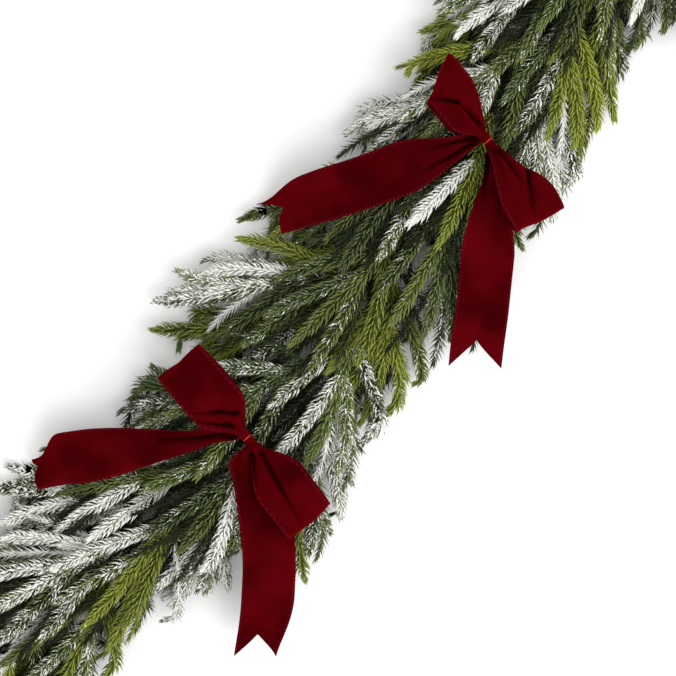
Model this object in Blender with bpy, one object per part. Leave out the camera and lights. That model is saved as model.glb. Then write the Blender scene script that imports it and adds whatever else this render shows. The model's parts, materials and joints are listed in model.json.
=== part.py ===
"""A flocked artificial pine garland with four velvet bows, lying on a flat surface.

The garland runs along +X. A core wire rope carries 45 pine sprays, which all point to -X and overlap
like shingles. Each spray is one moulded piece of five fronds: a main frond and two pairs at its sides.
Each bow is one pinched ribbon, held by a tie wire that reaches down to the core. A wire eye at each end
hangs the garland up.

Lengths are metres. Positions along the garland are measured on its centre line, from its middle, and
positions across it are positive to its left, seen by someone looking along +X.
"""
import math
import random

import bmesh
import bpy
import numpy as np
from mathutils import Vector
from mathutils.bvhtree import BVHTree

# The centre line is two nearly straight runs with one soft bend between them.
MEAN_HEADING = math.radians(-2.5)
HALF_BEND = math.radians(10.0)
BEND_AT = -0.225
BEND_RUN = 0.180
LAID_AT = (0.004, -0.041)
LINE_REACH = 1.3
LINE_STEP = 0.005

# Core wire rope, bent down to the surface at both ends.
CORE_RADIUS = 0.0045
CORE_SIDES = 6
CORE_ENDS = (-0.800, 0.872)
CORE_HEIGHT = 0.042
CORE_DROP_RUN = 0.110
CORE_PITCH = 0.045
CORE_FLAT = 0.014
GAP = 0.0003
ROOT_GAP = 0.0004

# Hanging eye at each end of the core.
EYE_WIRE_RADIUS = 0.0022
EYE_RADIUS = 0.013
EYE_NECK = 0.010
EYE_SIDES = 6
EYE_STEPS = 10
EYE_OPEN_ANGLE = math.radians(40)

# Sprays: where they are rooted, and the rounded section that their tips reach.
SPRAYS = 45
ROOT_FIRST = 0.855
ROOT_LAST = -0.735
CROWDED_START = 1.13
REACH_AT = (-0.60, -0.49, -0.42, -0.35, -0.28, -0.22, -0.15, -0.07, 0.02, 0.12, 0.24, 0.33, 0.42, 0.56)
LEFT_REACH = (0.138, 0.160, 0.150, 0.128, 0.124, 0.158, 0.190, 0.162, 0.148, 0.118, 0.107, 0.126, 0.136,
              0.138)
RIGHT_REACH = (0.118, 0.086, 0.100, 0.140, 0.168, 0.150, 0.103, 0.106, 0.136, 0.132, 0.120, 0.112, 0.102,
               0.132)
RISE = 0.073
DROP = 0.040
SAG = 0.036
WIDEST_ANGLE = math.radians(99)
GOLDEN_PART = 0.618034
SPRAY_LENGTH = 0.203
FORWARD_SHARE = 0.80
SPRAY_SWAY = 0.014
SAG_EASE = 1.6
RADIAL_EASE = 1.25
FAN_LEVEL = 0.55
PATH_STEP = 0.005
FORKS = (0.034, 0.078)
FORK_LENGTH = 0.008
SIDE_FRONDS = ((0.138, math.radians(38)), (0.124, math.radians(23)))
STRAIGHTENING = 0.45
OUTERMOST = 1.12
LOWEST_STEM = 0.0011
FRONDS = 5

# Stem and needles of a frond.
STEM_RADIUS = 0.0027
TIP_RADIUS = 0.0018
WHORLS = (0.26, 0.53, 0.79)
WHORL_LENGTH = 0.0065
NEEDLE_LENGTH = 0.016
NEEDLE_LEAN = math.radians(52)
NEEDLES_A_WHORL = 3
NEEDLE_BENDS = ((0, 1.0), (-15, 1.0), (14, 1.0), (-8, 0.7), (12, 0.7))

# How much the sprays vary. A spray that meets another is tried again, each time with more freedom.
LAYOUT_SEED = 28
FIRST_TURN = 0.31
MAIN_TRIES = 40
FIRST_FREEDOM = 0.5
FREEDOM_A_TRY = 1 / 6
ROOT_SHIFT = 0.006
ANGLE_SHIFT = math.radians(6)
SPRAY_LENGTHS = (0.93, 1.05)
SPRAY_REACHES = (0.93, 1.08)
SIDE_TRIES = 24
SIDE_TURNS = (0.85, 1.15)
SIDE_TURN_A_TRY = math.radians(1)
SIDE_LIFTS = (-0.05, 0.06)
SIDE_LIFT_A_TRY = 0.0125
SIDE_LENGTHS = (0.92, 1.08)

# Clear distances between stems, needles and ribbons.
CORE_MARK = 0.004
LEG_MARKS = 9
CORE_EXTRA = 0.0017
LEG_EXTRA = -0.001
MAIN_SKIP = 4
SIDE_SKIP = 2
LEAST_POINTS = 6
STEM_CLEAR = 0.0085
STEM_LEAST = 0.0066
RIBBON_CLEAR = 0.0055
RIBBON_LEAST = 0.0050
NEEDLE_STEM_CLEAR = 0.0046
NEEDLE_CLEAR = 0.0034
NEEDLE_RIBBON_CLEAR = 0.0032
LEG_CLEAR = 0.0036
CORE_CLEAR = 0.0060
NEEDLE_BEND_ROOM = 0.0030
NOT_A_FROND = -5
UNDER_RIBBON = 0.0095
BESIDE_RIBBON = 0.010
BESIDE_RIBBON_RISE = 0.9
FAR_FROM_RIBBON = 0.03
STEM_PIECE = 0.018

# Ribbon bows. An arm's turn is measured in degrees from the way the sprays point. A loop's end is cut by its
# skew out of square. A tail bows sideways by its curve, widens over its gather, curls down at its outer edge
# by its curl and bends down at its end by its droop.
RIBBON_WIDTH = 0.0635
RIBBON_THICKNESS = 0.0010
ROOT_WIDTH = 0.010
LOOP_GATHER_RUN = 0.050
KNOT_HEIGHT = 0.123
KNOT_RADIUS = 0.0060
LOBE_RADIUS = 0.0088
LOOP_HEIGHT = 0.034
LOOP_TILT = math.radians(8)
LOOP_ROOT = 0.006
LOOP_STEP = 0.004
TAIL_NOTCH = 0.027
TAIL_FALL = 0.050
TAIL_RISE = 0.004
CURL_START = 0.68
DROOP_START = 0.70
DROOP_STEPS = 60
TAIL_ROOT = 0.008
TAIL_ROOT_DROP = 0.0045
CROWN = 0.0045
TAIL_STATIONS = (0.0, 0.13, 0.30, 0.54, 0.76, 0.89, 1.0)
LOOP_STATIONS = (0.0, 0.13, 0.26, 0.39, 0.46, 0.54, 0.61, 0.74, 0.87, 1.0)
ACROSS = (-1.0, 0.0, 1.0)
KNOT_SIDES = 6
KNOT_PROFILE = ((-0.0125, 0.0045), (-0.008, LOBE_RADIUS), (-0.0024, KNOT_RADIUS),
                (0.0024, KNOT_RADIUS), (0.008, LOBE_RADIUS), (0.0125, 0.0045))
LOOP = {"skew": 4}
TAIL = {"curve": 0.006, "gather": 0.062, "curl": 0, "droop": 0}
BOWS = (
    {"at": -0.675, "across": 0.004,
     "left_loop": {**LOOP, "turn": -97, "length": 0.112, "skew": 6},
     "right_loop": {**LOOP, "turn": 80, "length": 0.110},
     "left_tail": {**TAIL, "turn": -38, "length": 0.262, "curl": 55},
     "right_tail": {**TAIL, "turn": 41, "length": 0.258, "droop": 15}},
    {"at": -0.225, "across": 0.000,
     "left_loop": {**LOOP, "turn": -95, "length": 0.119, "skew": -2},
     "right_loop": {**LOOP, "turn": 81, "length": 0.122},
     "left_tail": {**TAIL, "turn": -36, "length": 0.276, "curve": -0.012, "gather": 0.165, "curl": 105,
                   "droop": 25},
     "right_tail": {**TAIL, "turn": 47, "length": 0.258, "curve": 0.014, "curl": 45}},
    {"at": 0.225, "across": -0.021,
     "left_loop": {**LOOP, "turn": -103, "length": 0.093, "skew": 28},
     "right_loop": {**LOOP, "turn": 66, "length": 0.111, "skew": -6},
     "left_tail": {**TAIL, "turn": -36, "length": 0.278, "curve": 0.004, "curl": 75, "droop": 15},
     "right_tail": {**TAIL, "turn": 30, "length": 0.262, "curve": 0.004}},
    {"at": 0.675, "across": -0.006,
     "left_loop": {**LOOP, "turn": -100, "length": 0.110, "skew": 10},
     "right_loop": {**LOOP, "turn": 76, "length": 0.114},
     "left_tail": {**TAIL, "turn": -41, "length": 0.260, "curl": 30},
     "right_tail": {**TAIL, "turn": 36, "length": 0.266, "curl": 40, "droop": 10}},
)

# Tie wire of a bow.
TIE_RADIUS = 0.0009
TIE_SIDES = 4
TIE_STEPS = 8
LEG_RADIUS = 0.0012
LEG_POINTS = 4

# Where the sprays are heavily flocked or lime green: (along, across, reach).
FLOCKED_PLACES = (
    (-0.41, 0.05, 0.10), (-0.34, -0.06, 0.06), (-0.10, -0.01, 0.055), (-0.18, -0.09, 0.06),
    (0.20, 0.08, 0.06), (0.29, -0.07, 0.06), (0.34, 0.05, 0.06), (-0.12, 0.14, 0.06),
    (0.55, -0.03, 0.07), (-0.62, 0.02, 0.07),
)
LIME_PLACES = (
    (-0.03, -0.03, 0.06), (0.35, -0.10, 0.06), (0.28, 0.10, 0.05), (0.32, -0.05, 0.04), (0.14, -0.04, 0.04),
    (0.62, 0.07, 0.08), (-0.55, -0.08, 0.07), (0.80, -0.02, 0.06),
)


UP = np.array([0.0, 0.0, 1.0])


def heading(along):
    """Direction of the centre line, measured from +X."""
    return MEAN_HEADING + HALF_BEND * np.tanh((along - BEND_AT) / BEND_RUN)


def centre_line():
    """The centre line as tables of distance, X and Y."""
    along = np.arange(-LINE_REACH, LINE_REACH + LINE_STEP / 2, LINE_STEP)
    middle = heading((along[1:] + along[:-1]) / 2)
    x = np.concatenate([[0.0], np.cumsum(np.cos(middle)) * LINE_STEP])
    y = np.concatenate([[0.0], np.cumsum(np.sin(middle)) * LINE_STEP])
    x += LAID_AT[0] - np.interp(0.0, along, x)
    y += LAID_AT[1] - np.interp(0.0, along, y)
    return along, x, y


LINE = centre_line()


def placed(points):
    """World positions of points given as (along, across, height)."""
    points = np.asarray(points, float)
    along, across, height = points[..., 0], points[..., 1], points[..., 2]
    turn = heading(along)
    x = np.interp(along, LINE[0], LINE[1]) - np.sin(turn) * across
    y = np.interp(along, LINE[0], LINE[2]) + np.cos(turn) * across
    return np.stack([x, y, height], axis=-1)


def smooth(part):
    """An eased step from 0 to 1."""
    part = np.clip(part, 0.0, 1.0)
    return part * part * (3 - 2 * part)


def unit(vectors):
    vectors = np.asarray(vectors, float)
    return vectors / np.linalg.norm(vectors, axis=-1, keepdims=True)


def core_line():
    """Distances and heights of the bends in the core's axis, which drops to the surface at both ends."""
    count = round((CORE_ENDS[1] - CORE_ENDS[0]) / CORE_PITCH)
    flats = np.array([CORE_ENDS[0] + CORE_FLAT, CORE_ENDS[1] - CORE_FLAT])
    along = np.sort(np.concatenate([np.linspace(*CORE_ENDS, count + 1), flats]))
    low = CORE_RADIUS * math.cos(math.pi / CORE_SIDES)
    inside = np.minimum(along - CORE_ENDS[0], CORE_ENDS[1] - along)
    return along, low + (CORE_HEIGHT - low) * smooth(inside / CORE_DROP_RUN)


CORE_LINE = core_line()


def core_height(along):
    """Height of the core's axis."""
    return np.interp(along, *CORE_LINE)


def root_distance(root, outward):
    """Distance from the core's axis at which a spray's root ring just clears the core's flat sides."""
    half_side = math.pi / CORE_SIDES
    angle = math.atan2(outward[0], outward[1])
    off_flat = abs((angle + half_side) % (2 * half_side) - half_side)
    surface = CORE_RADIUS * math.cos(half_side - off_flat)
    rise = abs(core_height(root + STEM_RADIUS) - core_height(root - STEM_RADIUS)) / (2 * STEM_RADIUS)
    slope = rise * abs(outward[1])
    return surface * math.hypot(1, slope) + STEM_RADIUS * slope + ROOT_GAP


# Ribbons

def bow_frame(bow):
    """Knot position, the way the sprays point there, and the knot's own long axis."""
    knot = placed((bow["at"], bow["across"], KNOT_HEIGHT))
    down = float(heading(bow["at"])) + math.pi
    long_axis = down + math.radians((bow["left_loop"]["turn"] + bow["right_loop"]["turn"] - 180) / 2)
    return knot, down, np.array([math.cos(long_axis), math.sin(long_axis), 0.0])


def drooped(run, length, droop):
    """How far along and how far down a length of tail lies, where its end bends down by the droop."""
    marks = np.linspace(0.0, length, DROOP_STEPS + 1)
    middles = (marks[1:] + marks[:-1]) / (2 * length)
    pitch = math.radians(droop) * smooth((middles - DROOP_START) / (1 - DROOP_START))
    step = length / DROOP_STEPS
    ahead = np.concatenate([[0.0], np.cumsum(np.cos(pitch)) * step])
    down = np.concatenate([[0.0], np.cumsum(np.sin(pitch)) * step])
    return np.interp(run, marks, ahead), np.interp(run, marks, down)


def tail_grid(bow, side, lengthwise, crosswise):
    """Middle surface of one tail, as a grid of world points."""
    knot, down, long_axis = bow_frame(bow)
    tail = bow["left_tail"] if side > 0 else bow["right_tail"]
    angle = down + math.radians(tail["turn"])
    ahead = np.array([math.cos(angle), math.sin(angle), 0.0])
    level = np.array([-ahead[1], ahead[0], 0.0])
    root = knot + long_axis * side * TAIL_ROOT - UP * TAIL_ROOT_DROP
    t, u = np.meshgrid(lengthwise, crosswise, indexing="ij")
    run = t * (tail["length"] - TAIL_NOTCH * (1 - np.abs(u)))
    half = (ROOT_WIDTH + (RIBBON_WIDTH - ROOT_WIDTH) * smooth(run / tail["gather"])) / 2
    curl = math.radians(tail["curl"]) * smooth((t - CURL_START) / (1 - CURL_START)) + 1e-6
    from_inner = (1 - side * u) / 2
    sideways = side * half * (1 - 2 * np.sin(curl * from_inner) / curl) + tail["curve"] * np.sin(math.pi * t)
    curled = 2 * half * (1 - np.cos(curl * from_inner)) / curl
    lift = CROWN * (1 - u * u) * (1 - 0.7 * t) + TAIL_RISE * np.sin(math.pi * np.clip(t * 2.2, 0, 1)) - curled
    run, bent = drooped(run, tail["length"], tail["droop"])
    height = lift - bent - TAIL_FALL * t ** 2
    return root + run[..., None] * ahead + sideways[..., None] * level + height[..., None] * UP


def loop_grid(bow, side, lengthwise, crosswise):
    """Middle surface of one loop: out along the lower layer and back along the upper one."""
    knot, down, long_axis = bow_frame(bow)
    loop = bow["left_loop"] if side > 0 else bow["right_loop"]
    angle = down + math.radians(loop["turn"])
    ahead = np.array([math.cos(angle), math.sin(angle), 0.0])
    skewed = angle + math.pi / 2 + math.radians(loop["skew"])
    level = np.array([math.cos(skewed), math.sin(skewed), 0.0])
    root = knot + long_axis * side * LOOP_ROOT
    t, u = np.meshgrid(lengthwise, crosswise, indexing="ij")
    run = (loop["length"] - LOOP_ROOT) * (1 - np.cos(2 * math.pi * t)) / 2
    half = (ROOT_WIDTH + (RIBBON_WIDTH - ROOT_WIDTH) * smooth(run / LOOP_GATHER_RUN)) / 2
    puff = -LOOP_HEIGHT * np.sin(2 * math.pi * t) * np.sin(math.pi * t) ** 1.3
    ends = LOOP_STEP * (t - 0.5)
    crown = CROWN * (1 - u * u) * np.sin(2 * math.pi * t) * -0.8
    rise = puff + ends + crown + run * math.tan(LOOP_TILT)
    return root + run[..., None] * ahead + (u * half)[..., None] * level + rise[..., None] * UP


def strip_mesh(grid, thickness):
    """Points and faces of a thin solid on both sides of a grid, split alike on both faces."""
    rows, columns = grid.shape[:2]
    along = np.gradient(grid, axis=0)
    across = np.gradient(grid, axis=1)
    normal = unit(np.cross(along, across))
    both = np.concatenate([(grid + normal * thickness / 2).reshape(-1, 3),
                           (grid - normal * thickness / 2).reshape(-1, 3)])
    under = rows * columns
    faces = []
    for i in range(rows - 1):
        for j in range(columns - 1):
            a, b = i * columns + j, (i + 1) * columns + j
            faces += [(a, b, a + 1), (b, b + 1, a + 1)]
            faces += [(under + a, under + a + 1, under + b), (under + b, under + a + 1, under + b + 1)]
    rim = list(range(columns))
    rim += [i * columns + columns - 1 for i in range(1, rows)]
    rim += [(rows - 1) * columns + j for j in range(columns - 2, -1, -1)]
    rim += [i * columns for i in range(rows - 2, 0, -1)]
    for a, b in zip(rim, rim[1:] + rim[:1]):
        faces += [(a, b, under + b), (a, under + b, under + a)]
    return both, faces


def knot_mesh(bow):
    """The pinched middle of the ribbon: two lobes with a waist for the tie."""
    knot, _, axis = bow_frame(bow)
    side = np.array([-axis[1], axis[0], 0.0])
    points = []
    for offset, radius in KNOT_PROFILE:
        for k in range(KNOT_SIDES):
            angle = 2 * math.pi * k / KNOT_SIDES
            points.append(knot + axis * offset + radius * (math.cos(angle) * side + math.sin(angle) * UP))
    return np.array(points), tube_faces(len(KNOT_PROFILE), KNOT_SIDES)


def tube_faces(rings, sides):
    """Faces of a closed tube whose rings follow each other in one list of points."""
    faces = [tuple(range(sides)), tuple((rings - 1) * sides + k for k in range(sides))]
    for i in range(rings - 1):
        for k in range(sides):
            a, b = i * sides + k, i * sides + (k + 1) % sides
            faces.append((a, b, b + sides, a + sides))
    return faces


def ribbon_pieces(bow):
    """Meshes of the knot and the four arms of a bow, as points and faces."""
    pieces = [knot_mesh(bow)]
    for side in (1, -1):
        pieces.append(strip_mesh(loop_grid(bow, side, LOOP_STATIONS, ACROSS), RIBBON_THICKNESS))
        pieces.append(strip_mesh(tail_grid(bow, side, TAIL_STATIONS, ACROSS), RIBBON_THICKNESS))
    return pieces


def tie_path(bow):
    """Middle line of the tie's leg, from under the ring down to the core."""
    knot = placed((bow["at"], bow["across"], 0.0))
    foot = placed((bow["at"], 0.0, 0.0))
    top = KNOT_HEIGHT - KNOT_RADIUS - GAP - TIE_RADIUS
    bottom = float(core_height(bow["at"])) + CORE_RADIUS * math.cos(math.pi / CORE_SIDES) + GAP
    share = smooth(np.linspace(0, 1, LEG_POINTS))
    points = knot + (foot - knot) * share[:, None]
    points[:, 2] = np.linspace(top, bottom, LEG_POINTS)
    return points


# Spray layout

class Obstacles:
    """Ribbons and ties as one surface, with the ceiling that they set for the stems under them."""

    def __init__(self):
        points, faces = [], []
        samples = []
        for bow in BOWS:
            for part_points, part_faces in ribbon_pieces(bow):
                start = len(points)
                points += [tuple(p) for p in part_points]
                faces += [tuple(start + k for k in face) for face in part_faces]
            for side in (1, -1):
                lengthwise = np.linspace(0.0, 1.0, 31)
                crosswise = np.linspace(-1.0, 1.0, 7)
                samples.append(tail_grid(bow, side, lengthwise, crosswise).reshape(-1, 3))
                samples.append(loop_grid(bow, side, lengthwise, crosswise).reshape(-1, 3))
        self.tree = BVHTree.FromPolygons([Vector(p) for p in points], faces)
        self.samples = np.concatenate(samples)
        self.legs = [tie_path(bow) for bow in BOWS]

    def ceiling(self, points):
        """Greatest height for stems at these places, in world coordinates."""
        near = np.linalg.norm(points[:, None, :2] - self.samples[None, :, :2], axis=2)
        beside = np.maximum(0.0, near - BESIDE_RIBBON)
        return (self.samples[None, :, 2] - UNDER_RIBBON + BESIDE_RIBBON_RISE * beside).min(axis=1)

    def distance(self, point):
        """Distance from a point to the nearest ribbon."""
        found = self.tree.find_nearest(Vector(point), FAR_FROM_RIBBON)
        return found[3] if found[3] is not None else FAR_FROM_RIBBON


def half_width(along, across):
    """How far the sprays reach at a place along the garland, on the side that across points to."""
    left, right = np.interp(along, REACH_AT, LEFT_REACH), np.interp(along, REACH_AT, RIGHT_REACH)
    return np.where(np.asarray(across) > 0, left, right)


def main_path(root, angle, length, reach, sway):
    """Points (along, across, height) from the core to the tip of a spray's main frond."""
    vertical = RISE if math.cos(angle) > 0 else DROP
    wide = float(half_width(root - FORWARD_SHARE * length, math.sin(angle)))
    rim = np.array([wide * math.sin(angle), vertical * math.cos(angle)])
    far = float(np.linalg.norm(rim)) * reach
    outward = unit(rim)
    count = round(length / PATH_STEP)
    u = np.linspace(0, 1, count + 1)
    start = root_distance(root, outward)
    radial = start + (far - start) * (1 - (1 - u) ** RADIAL_EASE)
    step = length / count
    forward = np.sqrt(np.maximum(step ** 2 - np.diff(radial) ** 2, (0.3 * step) ** 2))
    along = root - np.concatenate([[0.0], np.cumsum(forward)])
    drift = sway * u ** SAG_EASE
    across = radial * outward[0] + drift * outward[1]
    base = float(core_height(root)) + (CORE_HEIGHT - float(core_height(root))) * smooth(u / 0.6)
    sag = SAG * math.sin(angle) ** 2 * u ** SAG_EASE
    return np.stack([along, across, base + radial * outward[1] - drift * outward[0] - sag], axis=1)


def fan_frames(path, angle):
    """Tangent and upward normal at each point of a spray's main path."""
    tangent = unit(np.gradient(path, axis=0))
    vertical = RISE if math.cos(angle) > 0 else DROP
    wide = float(half_width(path[-1][0], math.sin(angle)))
    skin = unit([0.0, math.sin(angle) / wide, abs(math.cos(angle)) / vertical])
    normal = unit(skin * (1 - FAN_LEVEL) + np.array([0, 0, FAN_LEVEL]))
    normal = normal - tangent * (tangent @ normal)[:, None]
    return tangent, unit(normal)


def side_path(path, frames, fork, side, turn, length, lift):
    """Points of a side frond, which leaves the main stem at the fork and bends back towards its direction."""
    tangent, normal = frames
    count = round(length / PATH_STEP)
    start = stem_place(fork + FORK_LENGTH / 2)
    points = [path[start]]
    for i in range(count):
        j = min(start + i, len(path) - 1)
        right = np.cross(tangent[j], normal[j])
        angle = turn * (1 - STRAIGHTENING * i / count)
        ahead = unit(math.cos(angle) * tangent[j] + side * math.sin(angle) * right + lift * normal[j])
        points.append(points[-1] + PATH_STEP * ahead)
    return np.array(points)


def stem_place(distance):
    """Place in a main path of the point at a distance from its root."""
    return round(distance / PATH_STEP)


def settled(path, obstacles):
    """World points of a path, kept inside the garland's section, above the surface and under the ribbons."""
    path = path.copy()
    centre = CORE_HEIGHT
    vertical = np.where(path[:, 2] > centre, RISE, DROP)
    share = np.hypot(path[:, 1] / half_width(path[:, 0], path[:, 1]), (path[:, 2] - centre) / vertical)
    pull = np.where(share > OUTERMOST, OUTERMOST / np.maximum(share, 1e-9), 1.0)
    path[:, 1] *= pull
    path[:, 2] = centre + (path[:, 2] - centre) * pull
    world = placed(path)
    limit = obstacles.ceiling(world)
    lowered = np.minimum(world[:, 2], limit)
    change = lowered - world[:, 2]
    kernel = np.array([0.25, 0.5, 0.25])
    eased = np.convolve(np.pad(change, 1, mode="edge"), kernel, mode="valid")
    eased[0] = 0.0
    world[:, 2] = np.maximum(world[:, 2] + np.minimum(eased, change * 0.999), LOWEST_STEM)
    return world


class Stems:
    """All stem points placed so far, for keeping new stems clear of them."""

    def __init__(self, obstacles):
        self.obstacles = obstacles
        core = np.arange(CORE_ENDS[0], CORE_ENDS[1], CORE_MARK)
        points = placed(np.stack([core, core * 0, core_height(core)], axis=1))
        runs = [np.linspace(a, b, LEG_MARKS) for leg in obstacles.legs for a, b in zip(leg, leg[1:])]
        self.legs = np.concatenate(runs)
        self.points = np.concatenate([points, self.legs])
        self.extra = np.concatenate([np.full(len(points), CORE_EXTRA), np.full(len(self.legs), LEG_EXTRA)])

    def least_gap(self, world, skip):
        """Smallest clear distance of a path beyond its first points, less what thicker neighbours need."""
        tested = world[skip:]
        apart = np.linalg.norm(tested[:, None, :] - self.points[None, :, :], axis=2) - self.extra[None, :]
        from_legs = np.linalg.norm(world[1:, None, :] - self.legs[None, :, :], axis=2)
        return float(min(apart.min(), from_legs.min()))

    def ribbon_gap(self, world):
        return min(self.obstacles.distance(p) for p in world[::2])

    def add(self, world):
        self.points = np.concatenate([self.points, world])
        self.extra = np.concatenate([self.extra, np.zeros(len(world))])


def best_of(trials, stems, skip):
    """The first trial whose path keeps clear of everything, or the one that comes nearest to it."""
    best, best_score = None, -1.0
    for trial in trials:
        world = trial[-1]
        score = min(stems.least_gap(world, skip) / STEM_CLEAR, stems.ribbon_gap(world) / RIBBON_CLEAR)
        if score > best_score:
            best, best_score = trial, score
        if score >= 1:
            break
    return best, best_score * STEM_CLEAR


def cut_clear(world, stems, skip):
    """The path, ended just before it would come too near a stem or ribbon."""
    shortest = skip + LEAST_POINTS
    for end in range(shortest, len(world)):
        near = np.linalg.norm(stems.points - world[end], axis=1) - stems.extra
        if near.min() < STEM_LEAST or stems.obstacles.distance(world[end]) < RIBBON_LEAST:
            return world[:max(end - 2, shortest - 1)]
    return world


def main_trials(root_place, facing, rng, obstacles):
    """Paths for the main frond of a spray, with its angle round the core, each looser than the last."""
    for attempt in range(MAIN_TRIES):
        loose = FIRST_FREEDOM + attempt * FREEDOM_A_TRY
        root = root_place + rng.uniform(-ROOT_SHIFT, ROOT_SHIFT) * loose
        angle = facing + rng.uniform(-ANGLE_SHIFT, ANGLE_SHIFT) * loose
        length = SPRAY_LENGTH * rng.uniform(*SPRAY_LENGTHS)
        reach = rng.uniform(*SPRAY_REACHES)
        path = main_path(root, angle, length, reach, rng.uniform(-SPRAY_SWAY, SPRAY_SWAY))
        yield path, angle, settled(path, obstacles)


def side_trials(path, frames, fork, side, size, rng, obstacles):
    """Paths for a side frond of a spray, each looser than the last."""
    length, turn = size
    for attempt in range(SIDE_TRIES):
        bent = turn * rng.uniform(*SIDE_TURNS) + rng.uniform(-SIDE_TURN_A_TRY, SIDE_TURN_A_TRY) * attempt
        lift = rng.uniform(*SIDE_LIFTS) + rng.uniform(-SIDE_LIFT_A_TRY, SIDE_LIFT_A_TRY) * attempt
        span = length * rng.uniform(*SIDE_LENGTHS)
        yield (settled(side_path(path, frames, fork, side, bent, span, lift), obstacles),)


def lay_out_spray(number, rng, stems):
    """One spray: its main path and four side paths in world coordinates, and the frames of its main stem."""
    root_place = ROOT_FIRST + (ROOT_LAST - ROOT_FIRST) * (number / (SPRAYS - 1)) ** CROWDED_START
    share = (number * GOLDEN_PART + FIRST_TURN) % 1.0
    facing = -WIDEST_ANGLE + 2 * WIDEST_ANGLE * share
    trials = main_trials(root_place, facing, rng, stems.obstacles)
    (path, angle, main), gap = best_of(trials, stems, MAIN_SKIP)
    if gap < STEM_LEAST:
        main = cut_clear(main, stems, MAIN_SKIP)
    frames = fan_frames(path, angle)
    axis_point = placed((path[0][0], 0.0, float(core_height(path[0][0]))))
    spray = {"outward": unit(main[0] - axis_point), "main": main, "sides": [],
             "normal": frames[1][:len(main)]}
    for fork, size in zip(FORKS, SIDE_FRONDS):
        for side in (1, -1):
            trials = side_trials(path, frames, fork, side, size, rng, stems.obstacles)
            (world,), gap = best_of(trials, stems, SIDE_SKIP)
            world[0] = main[stem_place(fork + FORK_LENGTH / 2)]
            if gap < STEM_LEAST:
                world = cut_clear(world, stems, SIDE_SKIP)
            spray["sides"].append({"fork": fork, "side": side, "path": world})
    return spray


def lay_out_sprays():
    """Every spray, laid out from the +X end, where the later ones keep clear of the earlier ones."""
    rng = random.Random(LAYOUT_SEED)
    obstacles = Obstacles()
    stems = Stems(obstacles)
    sprays = []
    for number in range(SPRAYS):
        spray = lay_out_spray(number, rng, stems)
        stems.add(spray["main"])
        for side in spray["sides"]:
            stems.add(side["path"])
        sprays.append(spray)
    return sprays, obstacles


# Spray meshes

class NeedleRoom:
    """Stems and needles placed so far, as segments with a radius, for keeping needles clear."""

    def __init__(self, obstacles):
        self.obstacles = obstacles
        self.starts, self.ends, self.clear, self.owners = [], [], [], []

    def add(self, start, end, clear, owner):
        self.starts.append(start)
        self.ends.append(end)
        self.clear.append(clear)
        self.owners.append(owner)

    def freeze(self):
        """Arrays for the stems, core and tie legs, with room for the needles to come."""
        for leg in self.obstacles.legs:
            for a, b in zip(leg, leg[1:]):
                self.add(a, b, LEG_CLEAR, NOT_A_FROND)
        core = np.linspace(*CORE_ENDS, 60)
        core = placed(np.stack([core, core * 0, core_height(core)], axis=1))
        for a, b in zip(core, core[1:]):
            self.add(a, b, CORE_CLEAR, NOT_A_FROND)
        spare = SPRAYS * FRONDS * len(WHORLS) * NEEDLES_A_WHORL
        self.count = len(self.starts)
        self.starts = np.concatenate([self.starts, np.zeros((spare, 3))])
        self.ends = np.concatenate([self.ends, np.zeros((spare, 3))])
        self.clear = np.concatenate([self.clear, np.zeros(spare)])
        self.owners = np.concatenate([self.owners, np.full(spare, NOT_A_FROND)])

    def free(self, base, tip, owner):
        """Whether a needle from base to tip keeps clear of everything but its own frond."""
        n = self.count
        gap = segment_gaps(base, tip, self.starts[:n], self.ends[:n]) - self.clear[:n]
        if (gap[self.owners[:n] != owner] < 0).any():
            return False
        for share in (0.0, 0.35, 0.7, 1.0):
            if self.obstacles.distance(base + (tip - base) * share) < NEEDLE_RIBBON_CLEAR:
                return False
        return True

    def keep(self, base, tip, owner):
        self.starts[self.count] = base
        self.ends[self.count] = tip
        self.clear[self.count] = NEEDLE_CLEAR
        self.owners[self.count] = owner
        self.count += 1


def segment_gaps(base, tip, starts, ends):
    """Least distances between the segment from base to tip and each of many others."""
    own, other = tip - base, ends - starts
    apart = base - starts
    own_square = own @ own
    other_square = np.maximum((other * other).sum(1), 1e-12)
    along_both, along_own = other @ own, apart @ own
    along_other = (other * apart).sum(1)
    spread = np.maximum(own_square * other_square - along_both ** 2, 1e-14)
    s = np.clip((along_both * along_other - along_own * other_square) / spread, 0, 1)
    t = np.clip((along_both * s + along_other) / other_square, 0, 1)
    s = np.clip((along_both * t - along_own) / own_square, 0, 1)
    return np.linalg.norm(base + s[:, None] * own - (starts + t[:, None] * other), axis=1)


def at_length(path, distance):
    """Point, tangent and place in a path at a distance from its start."""
    steps = np.linalg.norm(np.diff(path, axis=0), axis=1)
    run = np.concatenate([[0.0], np.cumsum(steps)])
    distance = min(max(distance, 0.0), run[-1])
    behind, point, ahead = (
        np.array([np.interp(distance + step, run, path[:, k]) for k in range(3)])
        for step in (-WHORL_LENGTH, 0.0, WHORL_LENGTH))
    return point, unit(ahead - behind)


def path_length(path):
    return float(np.linalg.norm(np.diff(path, axis=0), axis=1).sum())


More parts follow.
